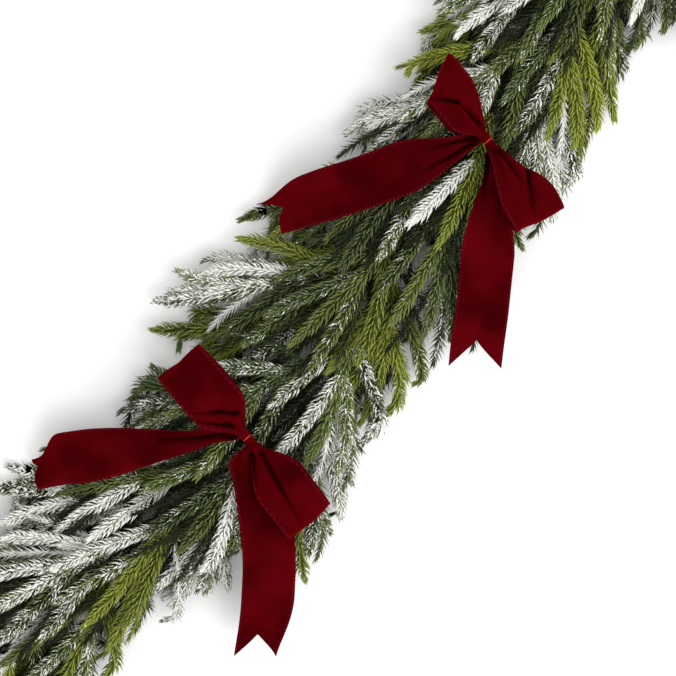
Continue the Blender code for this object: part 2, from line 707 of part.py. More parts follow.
class SprayMesh:
    """Points and faces of one spray, grown from its root ring."""

    def __init__(self):
        self.points = []
        self.faces = []
        self.needles = []

    def ring(self, centre, tangent, up, radius, turn):
        """Three points round a stem, kept on or above the surface."""
        up = unit(up - tangent * (up @ tangent))
        right = np.cross(tangent, up)
        first = len(self.points)
        for k in range(3):
            angle = turn + k * 2 * math.pi / 3
            point = centre + radius * (math.cos(angle) * up + math.sin(angle) * right)
            point[2] = max(point[2], 0.0)
            self.points.append(point)
        return (first, first + 1, first + 2)

    def join(self, a, b, leave=()):
        """Three sides between two rings, without those in leave, which something else closes."""
        for k in range(3):
            if k in leave:
                continue
            n = (k + 1) % 3
            self.faces += [(a[k], a[n], b[k]), (a[n], b[n], b[k])]

    def whorl(self, a, b, centre, tangent, owner):
        """Sides between two close rings that each hold a needle; the needles are settled later."""
        for k in range(3):
            n = (k + 1) % 3
            quad = (a[k], a[n], b[n], b[k])
            middle = sum(self.points[j] for j in quad) / 4
            self.needles.append({"quad": quad, "base": middle, "out": unit(middle - centre),
                                 "tangent": tangent, "owner": owner})

    def frond(self, path, start, ring, turn, up, owner):
        """Whorls and tip beyond a ring, or beyond a fork where ring is None."""
        total = path_length(path) - start
        first = None
        turn += math.radians(60) if ring else 0.0
        for share in WHORLS:
            radius = STEM_RADIUS + (TIP_RADIUS - STEM_RADIUS) * share
            back, tangent = at_length(path, start + total * share)
            front, _ = at_length(path, start + total * share + WHORL_LENGTH)
            a = self.ring(back, tangent, up, radius, turn)
            b = self.ring(front, tangent, up, radius, turn)
            if ring:
                self.join(ring, a)
            else:
                first = a
            self.whorl(a, b, (back + front) / 2, tangent, owner)
            ring = b
            turn += math.radians(60)
        tip = len(self.points)
        self.points.append(path[-1])
        for k in range(3):
            self.faces.append((ring[k], ring[(k + 1) % 3], tip))
        return first


def spray_skeleton(spray, number):
    """The stems of a spray, with places for its needles."""
    mesh = SprayMesh()
    main, normal = spray["main"], spray["normal"]
    root = main[0]
    outward = spray["outward"]
    tangent = unit(main[1] - main[0])
    first_up = unit(-(tangent - outward * (tangent @ outward)))
    ring = mesh.ring(root, outward, first_up, STEM_RADIUS, 0.0)
    mesh.faces.append(ring)
    sides = {}
    for fork in FORKS:
        back, tangent = at_length(main, fork)
        front, _ = at_length(main, fork + FORK_LENGTH)
        up = normal[min(stem_place(fork), len(normal) - 1)]
        a = mesh.ring(back, tangent, up, STEM_RADIUS, 0.0)
        b = mesh.ring(front, tangent, up, STEM_RADIUS, 0.0)
        mesh.join(ring, a)
        mesh.join(a, b, leave=(0, 2))
        sides[fork] = (a, b)
        ring = b
    mesh.frond(main, FORKS[-1] + FORK_LENGTH, ring, 0.0, normal[len(normal) // 2], number * FRONDS)
    for place, side in enumerate(spray["sides"], start=1):
        owner = number * FRONDS + place
        up = normal[min(stem_place(side["fork"]) + 8, len(normal) - 1)]
        first = mesh.frond(side["path"], 0.0, None, 0.0, up, owner)
        a, b = sides[side["fork"]]
        low = 1 if side["side"] > 0 else 2
        inner, outer = (2, 1) if side["side"] > 0 else (1, 2)
        mesh.faces += [(a[0], b[0], first[0]), (b[0], b[low], first[inner]), (b[0], first[inner], first[0]),
                       (b[low], a[low], first[outer]), (b[low], first[outer], first[inner]),
                       (a[low], a[0], first[0]), (a[low], first[0], first[outer])]
    return mesh


def stem_segments(spray, number, room):
    """Adds the spray's straight stem pieces to the room that needles keep clear of."""
    for place, path in enumerate([spray["main"]] + [side["path"] for side in spray["sides"]]):
        count = max(2, round(path_length(path) / STEM_PIECE))
        marks = [at_length(path, path_length(path) * i / count)[0] for i in range(count + 1)]
        for a, b in zip(marks, marks[1:]):
            room.add(a, b, NEEDLE_STEM_CLEAR, number * FRONDS + place)


def grow_needles(mesh, room):
    """A needle on each place that has room for one, bent or shortened where that clears a neighbour."""
    for needle in mesh.needles:
        quad, base, out, tangent = needle["quad"], needle["base"], needle["out"], needle["tangent"]
        low = min(mesh.points[j][2] for j in quad)
        tip = None
        for bend, share in NEEDLE_BENDS:
            lean = NEEDLE_LEAN + math.radians(bend)
            trial = base + NEEDLE_LENGTH * share * (math.sin(lean) * out + math.cos(lean) * tangent)
            if trial[2] < 0.0:
                if low < NEEDLE_BEND_ROOM:
                    continue
                trial[2] = 0.0
            if room.free(base, trial, needle["owner"]):
                tip = trial
                break
        if tip is None:
            mesh.faces += [quad]
            continue
        room.keep(base, tip, needle["owner"])
        index = len(mesh.points)
        mesh.points.append(tip)
        for k in range(4):
            mesh.faces.append((quad[k], quad[(k + 1) % 4], index))


# Blender objects

def clear_scene():
    for item in list(bpy.data.objects):
        bpy.data.objects.remove(item)


def material(name, colour, roughness, metallic=0.0):
    made = bpy.data.materials.new(name)
    made.use_nodes = True
    shader = made.node_tree.nodes["Principled BSDF"]
    shader.inputs["Base Color"].default_value = (*colour, 1.0)
    shader.inputs["Roughness"].default_value = roughness
    shader.inputs["Metallic"].default_value = metallic
    return made


def solid(name, points, faces, finish):
    """A mesh object with its faces pointing out."""
    mesh = bpy.data.meshes.new(name)
    mesh.from_pydata([tuple(p) for p in points], [], [tuple(f) for f in faces])
    work = bmesh.new()
    work.from_mesh(mesh)
    bmesh.ops.triangulate(work, faces=work.faces)
    bmesh.ops.recalc_face_normals(work, faces=work.faces)
    if work.calc_volume(signed=True) < 0:
        bmesh.ops.reverse_faces(work, faces=work.faces)
    work.to_mesh(mesh)
    work.free()
    mesh.materials.append(finish)
    item = bpy.data.objects.new(name, mesh)
    bpy.context.scene.collection.objects.link(item)
    return item


def union(name, pieces, finish):
    """One body of overlapping pieces, given as points and faces."""
    group = bpy.data.collections.new(name + "_pieces")
    bpy.context.scene.collection.children.link(group)
    base = solid(name, *pieces[0], finish)
    for number, (points, faces) in enumerate(pieces[1:]):
        piece = solid(f"{name}_piece_{number}", points, faces, finish)
        bpy.context.scene.collection.objects.unlink(piece)
        group.objects.link(piece)
    join = base.modifiers.new("join", "BOOLEAN")
    join.operation = "UNION"
    join.operand_type = "COLLECTION"
    join.collection = group
    join.solver = "EXACT"
    bpy.context.view_layer.update()
    joined = bpy.data.meshes.new_from_object(base.evaluated_get(bpy.context.evaluated_depsgraph_get()))
    base.modifiers.clear()
    base.data = joined
    for piece in list(group.objects):
        bpy.data.objects.remove(piece)
    bpy.data.collections.remove(group)
    return base


def tube(path, side_on, radius, sides, turn=0.0):
    """Points and faces of a tube along a path, with its first corners turned towards side_on."""
    tangents = unit(np.gradient(path, axis=0))
    points = []
    for centre, tangent in zip(path, tangents):
        up = unit(side_on - tangent * (side_on @ tangent))
        right = np.cross(tangent, up)
        for k in range(sides):
            angle = turn + 2 * math.pi * k / sides
            points.append(centre + radius * (math.cos(angle) * up + math.sin(angle) * right))
    return np.array(points), tube_faces(len(path), sides)


def core_wire(finish):
    """The wire rope under all the sprays, with a flat underside at its ends."""
    along, height = CORE_LINE
    path = placed(np.stack([along, along * 0, height], axis=1))
    points, faces = tube(path, UP, CORE_RADIUS, CORE_SIDES, math.pi / CORE_SIDES)
    return solid("core_wire", points, faces, finish)


def hanging_eye(name, end, away, finish):
    """A wire eye that lies flat on the surface beyond one end of the core."""
    low = EYE_WIRE_RADIUS * math.cos(math.pi / EYE_SIDES)
    start = end + away * GAP
    neck = start + away * EYE_NECK
    middle = neck + away * EYE_RADIUS
    points = [(start, 0.0), (start + away * EYE_NECK * 0.6, 0.0)]
    sweep = 2 * math.pi - EYE_OPEN_ANGLE
    for i in range(EYE_STEPS + 1):
        angle = sweep * i / EYE_STEPS
        points.append((middle - away * EYE_RADIUS * math.cos(angle), EYE_RADIUS * math.sin(angle)))
    path = placed([(along, across, low) for along, across in points])
    made, faces = tube(path, UP, EYE_WIRE_RADIUS, EYE_SIDES, math.pi / EYE_SIDES)
    return solid(name, made, faces, finish)


def tie_ring(bow):
    """Points and faces of the wire ring round the pinch of a bow."""
    knot, _, axis = bow_frame(bow)
    side = np.array([-axis[1], axis[0], 0.0])
    middle = (KNOT_RADIUS + GAP + TIE_RADIUS) / math.cos(math.pi / TIE_STEPS)
    points, faces = [], []
    for i in range(TIE_STEPS):
        around = 2 * math.pi * i / TIE_STEPS
        out = math.cos(around) * side + math.sin(around) * UP
        following = (i + 1) % TIE_STEPS
        for k in range(TIE_SIDES):
            angle = 2 * math.pi * k / TIE_SIDES
            wire = TIE_RADIUS * (math.cos(angle) * out + math.sin(angle) * axis)
            points.append(knot + out * middle + wire)
            n = (k + 1) % TIE_SIDES
            a, b = i * TIE_SIDES, following * TIE_SIDES
            faces.append((a + k, a + n, b + n, b + k))
    return np.array(points), faces


def bow_tie(name, bow, finish):
    """The wire ring round the pinch of a bow, with its leg down to the core."""
    leg = tube(tie_path(bow), bow_frame(bow)[2], LEG_RADIUS, TIE_SIDES)
    return union(name, [tie_ring(bow), leg], finish)


def spray_finish(spray, finishes):
    """Flocked, lime or dark green, by where the spray lies."""
    middle = spray["main"][len(spray["main"]) * 2 // 3]
    for kind, places in (("flocked", FLOCKED_PLACES), ("lime", LIME_PLACES)):
        for along, across, reach in places:
            centre = placed((along, across, 0.0))
            if math.hypot(middle[0] - centre[0], middle[1] - centre[1]) < reach:
                return finishes[kind]
    return finishes["dark"]


def build():
    clear_scene()
    core_finish = material("core_wire_green", (0.035, 0.060, 0.025), 0.60)
    ribbon_finish = material("ribbon_velvet", (0.270, 0.004, 0.012), 0.85)
    tie_finish = material("tie_wire_red", (0.620, 0.030, 0.030), 0.35)
    finishes = {
        "dark": material("needle_dark_green", (0.045, 0.095, 0.035), 0.55),
        "lime": material("needle_lime_green", (0.210, 0.290, 0.060), 0.55),
        "flocked": material("needle_flocked", (0.700, 0.740, 0.720), 0.90),
    }
    core_wire(core_finish)
    hanging_eye("hanging_eye_1", CORE_ENDS[0], -1, core_finish)
    hanging_eye("hanging_eye_2", CORE_ENDS[1], 1, core_finish)
    for number, bow in enumerate(BOWS, start=1):
        union(f"bow_{number}_ribbon", ribbon_pieces(bow), ribbon_finish)
        bow_tie(f"bow_{number}_tie", bow, tie_finish)
    sprays, obstacles = lay_out_sprays()
    room = NeedleRoom(obstacles)
    meshes = []
    for number, spray in enumerate(sprays):
        stem_segments(spray, number, room)
        meshes.append(spray_skeleton(spray, number))
    room.freeze()
    for number, (spray, mesh) in enumerate(zip(sprays, meshes), start=1):
        grow_needles(mesh, room)
        solid(f"spray_{number:02d}", mesh.points, mesh.faces, spray_finish(spray, finishes))


build()
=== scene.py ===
"""The looks of a flocked artificial pine garland with four velvet bows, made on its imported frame.

The garland runs along +X and lies on the floor at Z = 0. Lengths are metres. Positions along it are measured
on its centre line, from its middle, and positions across it are positive to its left, seen along +X.
"""
import json
import math
import random

import bmesh
import bpy
import numpy as np
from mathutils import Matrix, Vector
from mathutils.bvhtree import BVHTree


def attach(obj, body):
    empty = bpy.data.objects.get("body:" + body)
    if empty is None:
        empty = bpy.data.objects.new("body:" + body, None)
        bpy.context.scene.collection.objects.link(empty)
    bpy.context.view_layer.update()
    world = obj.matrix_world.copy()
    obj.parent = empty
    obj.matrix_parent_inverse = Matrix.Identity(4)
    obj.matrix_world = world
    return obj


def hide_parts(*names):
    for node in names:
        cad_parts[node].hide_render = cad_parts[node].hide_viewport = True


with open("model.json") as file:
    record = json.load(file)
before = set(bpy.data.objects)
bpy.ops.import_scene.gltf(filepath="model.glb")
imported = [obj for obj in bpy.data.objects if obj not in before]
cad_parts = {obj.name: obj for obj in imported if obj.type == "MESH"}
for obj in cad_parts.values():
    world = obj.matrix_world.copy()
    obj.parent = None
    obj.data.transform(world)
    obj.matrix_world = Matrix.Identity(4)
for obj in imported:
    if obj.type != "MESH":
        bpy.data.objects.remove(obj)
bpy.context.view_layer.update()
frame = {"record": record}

# Core wire
# Two steel wires in dark green plastic, twisted into one rope, carry everything. The rope follows the
# garland's soft bend and drops to the table at both ends.

MEAN_HEADING = math.radians(-2.5)
HALF_BEND = math.radians(10.0)
BEND_AT = -0.225
BEND_RUN = 0.180
LAID_AT = (0.004, -0.041)
LINE_REACH = 1.3
LINE_STEP = 0.005
CORE_RADIUS = 0.0045
CORE_SIDES = 6
CORE_ENDS = (-0.800, 0.872)
CORE_HEIGHT = 0.042
CORE_DROP_RUN = 0.110
CORE_PITCH = 0.045
CORE_FLAT = 0.014
STRAND_RADIUS = 0.0020
STRAND_TWIST = 0.026
STRAND_STEP = 0.003
STRAND_SPREAD = 0.86
UP = np.array([0.0, 0.0, 1.0])


def heading(along):
    """Direction of the centre line, measured from +X."""
    return MEAN_HEADING + HALF_BEND * np.tanh((along - BEND_AT) / BEND_RUN)


def running_total(steps):
    """The sum of the steps before each point, which is 0 at the first one."""
    return np.concatenate([[0.0], np.cumsum(steps)])


def centre_line():
    """The centre line as tables of distance, X and Y."""
    along = np.arange(-LINE_REACH, LINE_REACH + LINE_STEP / 2, LINE_STEP)
    middle = heading((along[1:] + along[:-1]) / 2)
    x = running_total(np.cos(middle)) * LINE_STEP
    y = running_total(np.sin(middle)) * LINE_STEP
    x += LAID_AT[0] - np.interp(0.0, along, x)
    y += LAID_AT[1] - np.interp(0.0, along, y)
    return along, x, y


LINE = centre_line()


def placed(points):
    """World positions of points given as (along, across, height)."""
    points = np.asarray(points, float)
    along, across, height = points[..., 0], points[..., 1], points[..., 2]
    turn = heading(along)
    x = np.interp(along, LINE[0], LINE[1]) - np.sin(turn) * across
    y = np.interp(along, LINE[0], LINE[2]) + np.cos(turn) * across
    return np.stack([x, y, height], axis=-1)


def smooth(part):
    """An eased step from 0 to 1."""
    part = np.clip(part, 0.0, 1.0)
    return part * part * (3 - 2 * part)


def unit(vectors):
    vectors = np.asarray(vectors, float)
    return vectors / np.linalg.norm(vectors, axis=-1, keepdims=True)


def core_line():
    """Distances and heights of the bends in the core's axis: level, then down to the surface at the ends."""
    count = round((CORE_ENDS[1] - CORE_ENDS[0]) / CORE_PITCH)
    flats = np.array([CORE_ENDS[0] + CORE_FLAT, CORE_ENDS[1] - CORE_FLAT])
    along = np.sort(np.concatenate([np.linspace(*CORE_ENDS, count + 1), flats]))
    low = CORE_RADIUS * math.cos(math.pi / CORE_SIDES)
    inside = np.minimum(along - CORE_ENDS[0], CORE_ENDS[1] - along)
    return along, low + (CORE_HEIGHT - low) * smooth(inside / CORE_DROP_RUN)


CORE_LINE = core_line()


def core_height(along):
    """Height of the core's axis."""
    return np.interp(along, *CORE_LINE)


def tube_faces(rings, sides):
    """Faces of a closed tube whose rings follow each other in one list of points."""
    faces = [tuple(range(sides - 1, -1, -1)), tuple((rings - 1) * sides + k for k in range(sides))]
    for i in range(rings - 1):
        for k in range(sides):
            a, b = i * sides + k, i * sides + (k + 1) % sides
            faces.append((a, b, b + sides, a + sides))
    return faces


def ring(centre, radius, first, second, sides):
    """Points of a circle in the plane of two directions."""
    angles = [2 * math.pi * k / sides for k in range(sides)]
    return [centre + radius * (math.cos(angle) * first + math.sin(angle) * second) for angle in angles]


def tube(path, radius, sides):
    """Points and faces of a round tube along a path; radius is one value or one for each point."""
    path = np.asarray(path, float)
    tangents = unit(np.gradient(path, axis=0))
    radii = np.broadcast_to(np.asarray(radius, float), (len(path),))
    side = np.cross(tangents[0], UP if abs(tangents[0][2]) < 0.9 else [1.0, 0.0, 0.0])
    points = []
    for centre, tangent, wide in zip(path, tangents, radii):
        side = unit(side - tangent * (side @ tangent))
        points += ring(centre, wide, side, np.cross(tangent, side), sides)
    return np.array(points), tube_faces(len(path), sides)


def joined(parts):
    """Several (points, faces) parts as one."""
    points, faces = [], []
    for part_points, part_faces in parts:
        start = len(points)
        points += [tuple(p) for p in part_points]
        faces += [tuple(start + k for k in face) for face in part_faces]
    return points, faces


def put_in_scene(name, data):
    """An object made of a mesh, a camera or a lamp."""
    made = bpy.data.objects.new(name, data)
    bpy.context.scene.collection.objects.link(made)
    return made


def piece(name, parts, finish, slot, nodes=(), aligned=False):
    """A smooth-shaded mesh of one or more (points, faces) parts; aligned says that their faces point out."""
    points, faces = joined(parts)
    mesh = bpy.data.meshes.new(name)
    mesh.from_pydata(points, [], faces)
    if not aligned:
        work = bmesh.new()
        work.from_mesh(mesh)
        bmesh.ops.recalc_face_normals(work, faces=work.faces)
        work.to_mesh(mesh)
        work.free()
    mesh.shade_smooth()
    mesh.materials.append(finish)
    made = put_in_scene(name, mesh)
    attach(made, "root")
    if nodes:
        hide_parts(*nodes)
    return made


class Finish:
    """A material under construction: its shader and the few kinds of node that the finishes use."""

    def __init__(self, name, roughness):
        self.material = bpy.data.materials.new(name)
        self.material.use_nodes = True
        self.nodes = self.material.node_tree.nodes
        self.links = self.material.node_tree.links
        self.shader = self.nodes["Principled BSDF"]
        self.shader.inputs["Roughness"].default_value = roughness
        self.place = self.nodes.new("ShaderNodeTexCoord").outputs["Object"]

    def put(self, socket, value):
        """Links an output to a socket, or sets the socket to a number or colour."""
        if isinstance(value, bpy.types.NodeSocket):
            self.links.new(value, socket)
        elif isinstance(value, tuple):
            socket.default_value = (*value, 1.0)
        else:
            socket.default_value = value

    def add(self, kind, inputs):
        """A new node, with its sockets linked or set."""
        node = self.nodes.new(kind)
        for socket, value in inputs.items():
            self.put(node.inputs[socket], value)
        return node

    def noise(self, scale, detail=2.0):
        """Cloudy noise, fixed in the object, with features about 1/scale metres wide."""
        inputs = {"Scale": scale, "Detail": detail, "Vector": self.place}
        return self.add("ShaderNodeTexNoise", inputs).outputs["Fac"]

    def attribute(self, name):
        """A number that the mesh carries at each of its points."""
        node = self.nodes.new("ShaderNodeAttribute")
        node.attribute_name = name
        return node.outputs["Fac"]

    def level(self, value, low, high):
        """0 where value is low, 1 where it is high, eased between."""
        node = self.add("ShaderNodeMapRange", {"Value": value, "From Min": low, "From Max": high})
        node.interpolation_type = "SMOOTHSTEP"
        return node.outputs["Result"]

    def math(self, kind, first, second=0.0):
        """The sum, product or other simple result of two values."""
        node = self.add("ShaderNodeMath", {0: first, 1: second})
        node.operation = kind
        return node.outputs[0]

    def blend(self, share, first, second):
        """A colour between first, at share 0, and second, at share 1."""
        node = self.nodes.new("ShaderNodeMix")
        node.data_type = "RGBA"
        self.put(node.inputs[0], share)
        self.put(node.inputs[6], first)
        self.put(node.inputs[7], second)
        return node.outputs[2]

    def bump(self, height, distance, strength=1.0):
        """Fine relief of the surface, distance metres deep."""
        node = self.add("ShaderNodeBump", {"Strength": strength, "Distance": distance, "Height": height})
        self.links.new(node.outputs["Normal"], self.shader.inputs["Normal"])

    def colour(self, value):
        self.put(self.shader.inputs["Base Color"], value)


wire_finish = Finish("covered_wire", 0.5)
wire_finish.colour(wire_finish.blend(wire_finish.noise(180.0), (0.020, 0.040, 0.014), (0.050, 0.085, 0.030)))
wire_finish.bump(wire_finish.noise(900.0), 0.0003)


def strand(turn):
    """One of the two twisted wires of the rope."""
    along = np.arange(CORE_ENDS[0], CORE_ENDS[1] + STRAND_STEP / 3, STRAND_STEP)
    angle = turn + 2 * math.pi * along / STRAND_TWIST
    offset = CORE_RADIUS * STRAND_SPREAD - STRAND_RADIUS
    height = core_height(along) + offset * np.sin(angle)
    path = placed(np.stack([along, offset * np.cos(angle), height], axis=1))
    return tube(path, STRAND_RADIUS, 8)


piece("core_rope", [strand(0.0), strand(math.pi)], wire_finish.material, "core_wire", ["core_wire"])

# Hanging eyes
# Each end of the rope is bent into a round eye for a hook. It lies flat on the table, and its tail is wound
# round the neck in five close turns.

EYE_WIRE_RADIUS = 0.0022
EYE_RADIUS = 0.013
EYE_NECK = 0.010
EYE_OPEN_ANGLE = math.radians(40)
GAP = 0.0003
EYE_SIDES = 10
EYE_STEPS = 40
WINDING_RADIUS = 0.0008
WINDING_TURNS = 5
WINDING_STEPS_A_TURN = 16
WINDING_START = 0.0012
WINDING_PRESSED = 0.4


def eye_wire(end, away):
    """The eye's wire: a short neck and a nearly closed ring."""
    start = end + away * GAP
    neck = start + away * EYE_NECK
    middle = neck + away * EYE_RADIUS
    path = [(start, 0.0), (start + away * EYE_NECK * 0.3, 0.0), (start + away * EYE_NECK * 0.6, 0.0)]
    sweep = 2 * math.pi - EYE_OPEN_ANGLE
    for i in range(EYE_STEPS + 1):
        angle = sweep * i / EYE_STEPS
        path.append((middle - away * EYE_RADIUS * math.cos(angle), EYE_RADIUS * math.sin(angle)))
    low = EYE_WIRE_RADIUS
    return tube(placed([(along, across, low) for along, across in path]), EYE_WIRE_RADIUS, EYE_SIDES)


def eye_winding(end, away):
    """The thin wire wound round the neck."""
    turns = np.linspace(0, 1, WINDING_TURNS * WINDING_STEPS_A_TURN + 1)
    angle = 2 * math.pi * WINDING_TURNS * turns
    reach = EYE_WIRE_RADIUS + WINDING_RADIUS * WINDING_PRESSED
    along = end + away * (GAP + WINDING_START + turns * WINDING_TURNS * WINDING_RADIUS * 2.0)
    height = np.maximum(EYE_WIRE_RADIUS + reach * np.sin(angle), WINDING_RADIUS)
    return tube(placed(np.stack([along, reach * np.cos(angle), height], axis=1)), WINDING_RADIUS, 6)


for number, (end, away) in enumerate(((CORE_ENDS[0], -1), (CORE_ENDS[1], 1)), start=1):
    parts = [eye_wire(end, away), eye_winding(end, away)]
    piece(f"eye_{number}", parts, wire_finish.material, "core_wire", [f"hanging_eye_{number}"])

# Velvet bows
# Each bow is one length of wired velvet ribbon: two loops and two swallow-tailed tails, gathered into deep
# pleats and pinched in the middle. A thin woven edge with stitches covers the wire on both sides.

RIBBON_WIDTH = 0.0635
RIBBON_THICKNESS = 0.0010
ROOT_WIDTH = 0.010
LOOP_GATHER_RUN = 0.050
KNOT_HEIGHT = 0.123
KNOT_RADIUS = 0.0060
LOBE_RADIUS = 0.0088
LOOP_HEIGHT = 0.034
LOOP_TILT = math.radians(8)
LOOP_ROOT = 0.006
LOOP_STEP = 0.004
TAIL_NOTCH = 0.027
TAIL_FALL = 0.050
TAIL_RISE = 0.004
CURL_START = 0.68
LEAST_CURL = 1e-6
DROOP_START = 0.70
DROOP_STEPS = 60
TAIL_ROOT = 0.008
TAIL_ROOT_DROP = 0.0045
CROWN = 0.0045
TAIL_STATIONS = (0.0, 0.13, 0.30, 0.54, 0.76, 0.89, 1.0)
LOOP_STATIONS = (0.0, 0.13, 0.26, 0.39, 0.46, 0.54, 0.61, 0.74, 0.87, 1.0)
ACROSS = (-1.0, 0.0, 1.0)
KNOT_SIDES = 6
KNOT_PROFILE = ((-0.0125, 0.0045), (-0.008, LOBE_RADIUS), (-0.0024, KNOT_RADIUS),
                (0.0024, KNOT_RADIUS), (0.008, LOBE_RADIUS), (0.0125, 0.0045))
LOOP = {"skew": 4, "gather": LOOP_GATHER_RUN}
TAIL = {"curve": 0.006, "gather": 0.062, "curl": 0, "curl_start": CURL_START, "droop": 0}
BOWS = (
    {"at": -0.675, "across": 0.004,
     "left_loop": {**LOOP, "turn": -97, "length": 0.112, "skew": 6},
     "right_loop": {**LOOP, "turn": 80, "length": 0.110},
     "left_tail": {**TAIL, "turn": -38, "length": 0.262, "curl": 55},
     "right_tail": {**TAIL, "turn": 41, "length": 0.258, "droop": 15}},
    {"at": -0.225, "across": 0.000,
     "left_loop": {**LOOP, "turn": -95, "length": 0.119, "skew": -2},
     "right_loop": {**LOOP, "turn": 81, "length": 0.122},
     "left_tail": {**TAIL, "turn": -36, "length": 0.276, "curve": -0.012, "gather": 0.165, "curl": 105,
                   "droop": 25},
     "right_tail": {**TAIL, "turn": 47, "length": 0.258, "curve": 0.014, "curl": 45}},
    {"at": 0.225, "across": -0.021,
     "left_loop": {**LOOP, "turn": -103, "length": 0.093, "skew": 28},
     "right_loop": {**LOOP, "turn": 66, "length": 0.111, "skew": -6},
     "left_tail": {**TAIL, "turn": -36, "length": 0.278, "curve": 0.004, "curl": 75, "droop": 15},
     "right_tail": {**TAIL, "turn": 30, "length": 0.262, "curve": 0.004}},
    {"at": 0.675, "across": -0.006,
     "left_loop": {**LOOP, "turn": -100, "length": 0.110, "skew": 10},
     "right_loop": {**LOOP, "turn": 76, "length": 0.114},
     "left_tail": {**TAIL, "turn": -41, "length": 0.260, "curl": 30},
     "right_tail": {**TAIL, "turn": 36, "length": 0.266, "curl": 40, "droop": 10}},
)
PLEATS = 2.5
PLEAT_DEPTH = 0.0065
PLEAT_RUN = 0.105
PLEAT_START = 0.012
FINE_PLEATS = 6.5
FINE_PLEAT_SHARE = 0.35
RIPPLE = 0.0022
RIPPLE_PHASE_A_METRE = 62
RIPPLE_START = 0.04
TAIL_ROWS = 80
LOOP_ROWS = 96
RIBBON_COLUMNS = 33
TRIM_START = 0.6
KNOT_TIGHTNESS = 0.80
KNOT_RINGS = 19
KNOT_POINTS = 36
KNOT_PLEATS = 9
KNOT_PLEAT_DEPTH = 0.10
KNOT_PLEAT_SLANT = 120

# Sharp folds, each from one (run, across) to another, and how parts of the bows have settled.
FOLD_DEPTH = 0.012
FOLD_WIDTH = 0.0036
TAIL_FOLDS = ((0.010, 0.002, 0.078, 0.011), (0.010, -0.002, 0.060, -0.009))
LOOP_FOLDS = ((0.012, 0.001, 0.066, 0.005), (0.014, -0.004, 0.046, -0.017))
FOLDS = {
    (2, "left_loop"): ((0.026, -0.011, 0.056, 0.024), (0.018, 0.003, 0.051, 0.034)),
    (2, "left_tail"): ((0.010, 0.001, 0.100, -0.006),),
    (2, "right_loop"): ((0.020, 0.003, 0.107, -0.008), (0.014, -0.006, 0.045, -0.022)),
    (3, "left_loop"): ((0.017, -0.002, 0.052, 0.003), (0.052, 0.003, 0.084, 0.025)),
    (3, "right_loop"): ((0.040, 0.021, 0.094, -0.004), (0.012, 0.001, 0.052, 0.004)),
}
PLAIN = {"swing": 0.0, "short_prong": 0.0, "rounded": 0.0, "notch": 0.0}
SETTLED = {
    (2, "left_loop"): {"gather": 0.042},
    (2, "left_tail"): {"gather": 0.195, "curve": -0.002, "curl": 112, "curl_start": 0.75, "swing": -0.008,
                       "short_prong": 0.007, "rounded": 0.009, "notch": -0.012},
    (2, "right_loop"): {"gather": 0.064},
    (2, "right_tail"): {"gather": 0.024, "curl": 72, "swing": -0.006, "short_prong": -0.007},
    (3, "left_loop"): {"turn": -107},
    (3, "left_tail"): {"gather": 0.105, "length": 0.286, "swing": -0.009, "short_prong": 0.016,
                       "rounded": 0.004},
    (3, "right_loop"): {"gather": 0.082},
    (3, "right_tail"): {"gather": 0.130, "notch": 0.007},
    (4, "right_tail"): {"swing": 0.010},
}


def direction(angle):
    """The level direction at an angle from +X."""
    return np.array([math.cos(angle), math.sin(angle), 0.0])


def left_of(way):
    """The level direction a quarter turn to the left of another."""
    return np.array([-way[1], way[0], 0.0])


def bow_frame(bow):
    """Knot position, the way the sprays point there, and the knot's own long axis."""
    knot = placed((bow["at"], bow["across"], KNOT_HEIGHT))
    down = float(heading(bow["at"])) + math.pi
    long_axis = down + math.radians((bow["left_loop"]["turn"] + bow["right_loop"]["turn"] - 180) / 2)
    return knot, down, direction(long_axis)


def drooped(run, length, droop):
    """How far along and how far down a length of tail lies, where its end bends down by the droop."""
    marks = np.linspace(0.0, length, DROOP_STEPS + 1)
    middles = (marks[1:] + marks[:-1]) / (2 * length)
    pitch = math.radians(droop) * smooth((middles - DROOP_START) / (1 - DROOP_START))
    step = length / DROOP_STEPS
    ahead = running_total(np.cos(pitch)) * step
    down = running_total(np.sin(pitch)) * step
    return np.interp(run, marks, ahead), np.interp(run, marks, down)


def half_wide(run, gather):
    """Half the ribbon's width, gathered over its first part."""
    return (ROOT_WIDTH + (RIBBON_WIDTH - ROOT_WIDTH) * smooth(run / gather)) / 2


def tail_run(tail, t, u):
    """Distance along a tail, which ends in a notch between two prongs."""
    return t * (tail["length"] - TAIL_NOTCH * (1 - np.abs(u)))


def loop_run(loop, t):
    """Distance from a loop's root, out to its far end and back again."""
    return (loop["length"] - LOOP_ROOT) * (1 - np.cos(2 * math.pi * t)) / 2


def tail_grid(bow, side, lengthwise, crosswise):
    """Middle surface of one tail, as a grid of world points."""
    knot, down, long_axis = bow_frame(bow)
    tail = bow["left_tail"] if side > 0 else bow["right_tail"]
    ahead = direction(down + math.radians(tail["turn"]))
    level = left_of(ahead)
    root = knot + long_axis * side * TAIL_ROOT - UP * TAIL_ROOT_DROP
    t, u = np.meshgrid(lengthwise, crosswise, indexing="ij")
    run = tail_run(tail, t, u)
    half = half_wide(run, tail["gather"])
    curled_share = smooth((t - tail["curl_start"]) / (1 - tail["curl_start"]))
    curl = math.radians(tail["curl"]) * curled_share + LEAST_CURL
    from_inner = (1 - side * u) / 2
    sideways = side * half * (1 - 2 * np.sin(curl * from_inner) / curl) + tail["curve"] * np.sin(math.pi * t)
    curled = 2 * half * (1 - np.cos(curl * from_inner)) / curl
    lift = CROWN * (1 - u * u) * (1 - 0.7 * t) + TAIL_RISE * np.sin(math.pi * np.clip(t * 2.2, 0, 1)) - curled
    run, bent = drooped(run, tail["length"], tail["droop"])
    height = lift - bent - TAIL_FALL * t ** 2
    return root + run[..., None] * ahead + sideways[..., None] * level + height[..., None] * UP


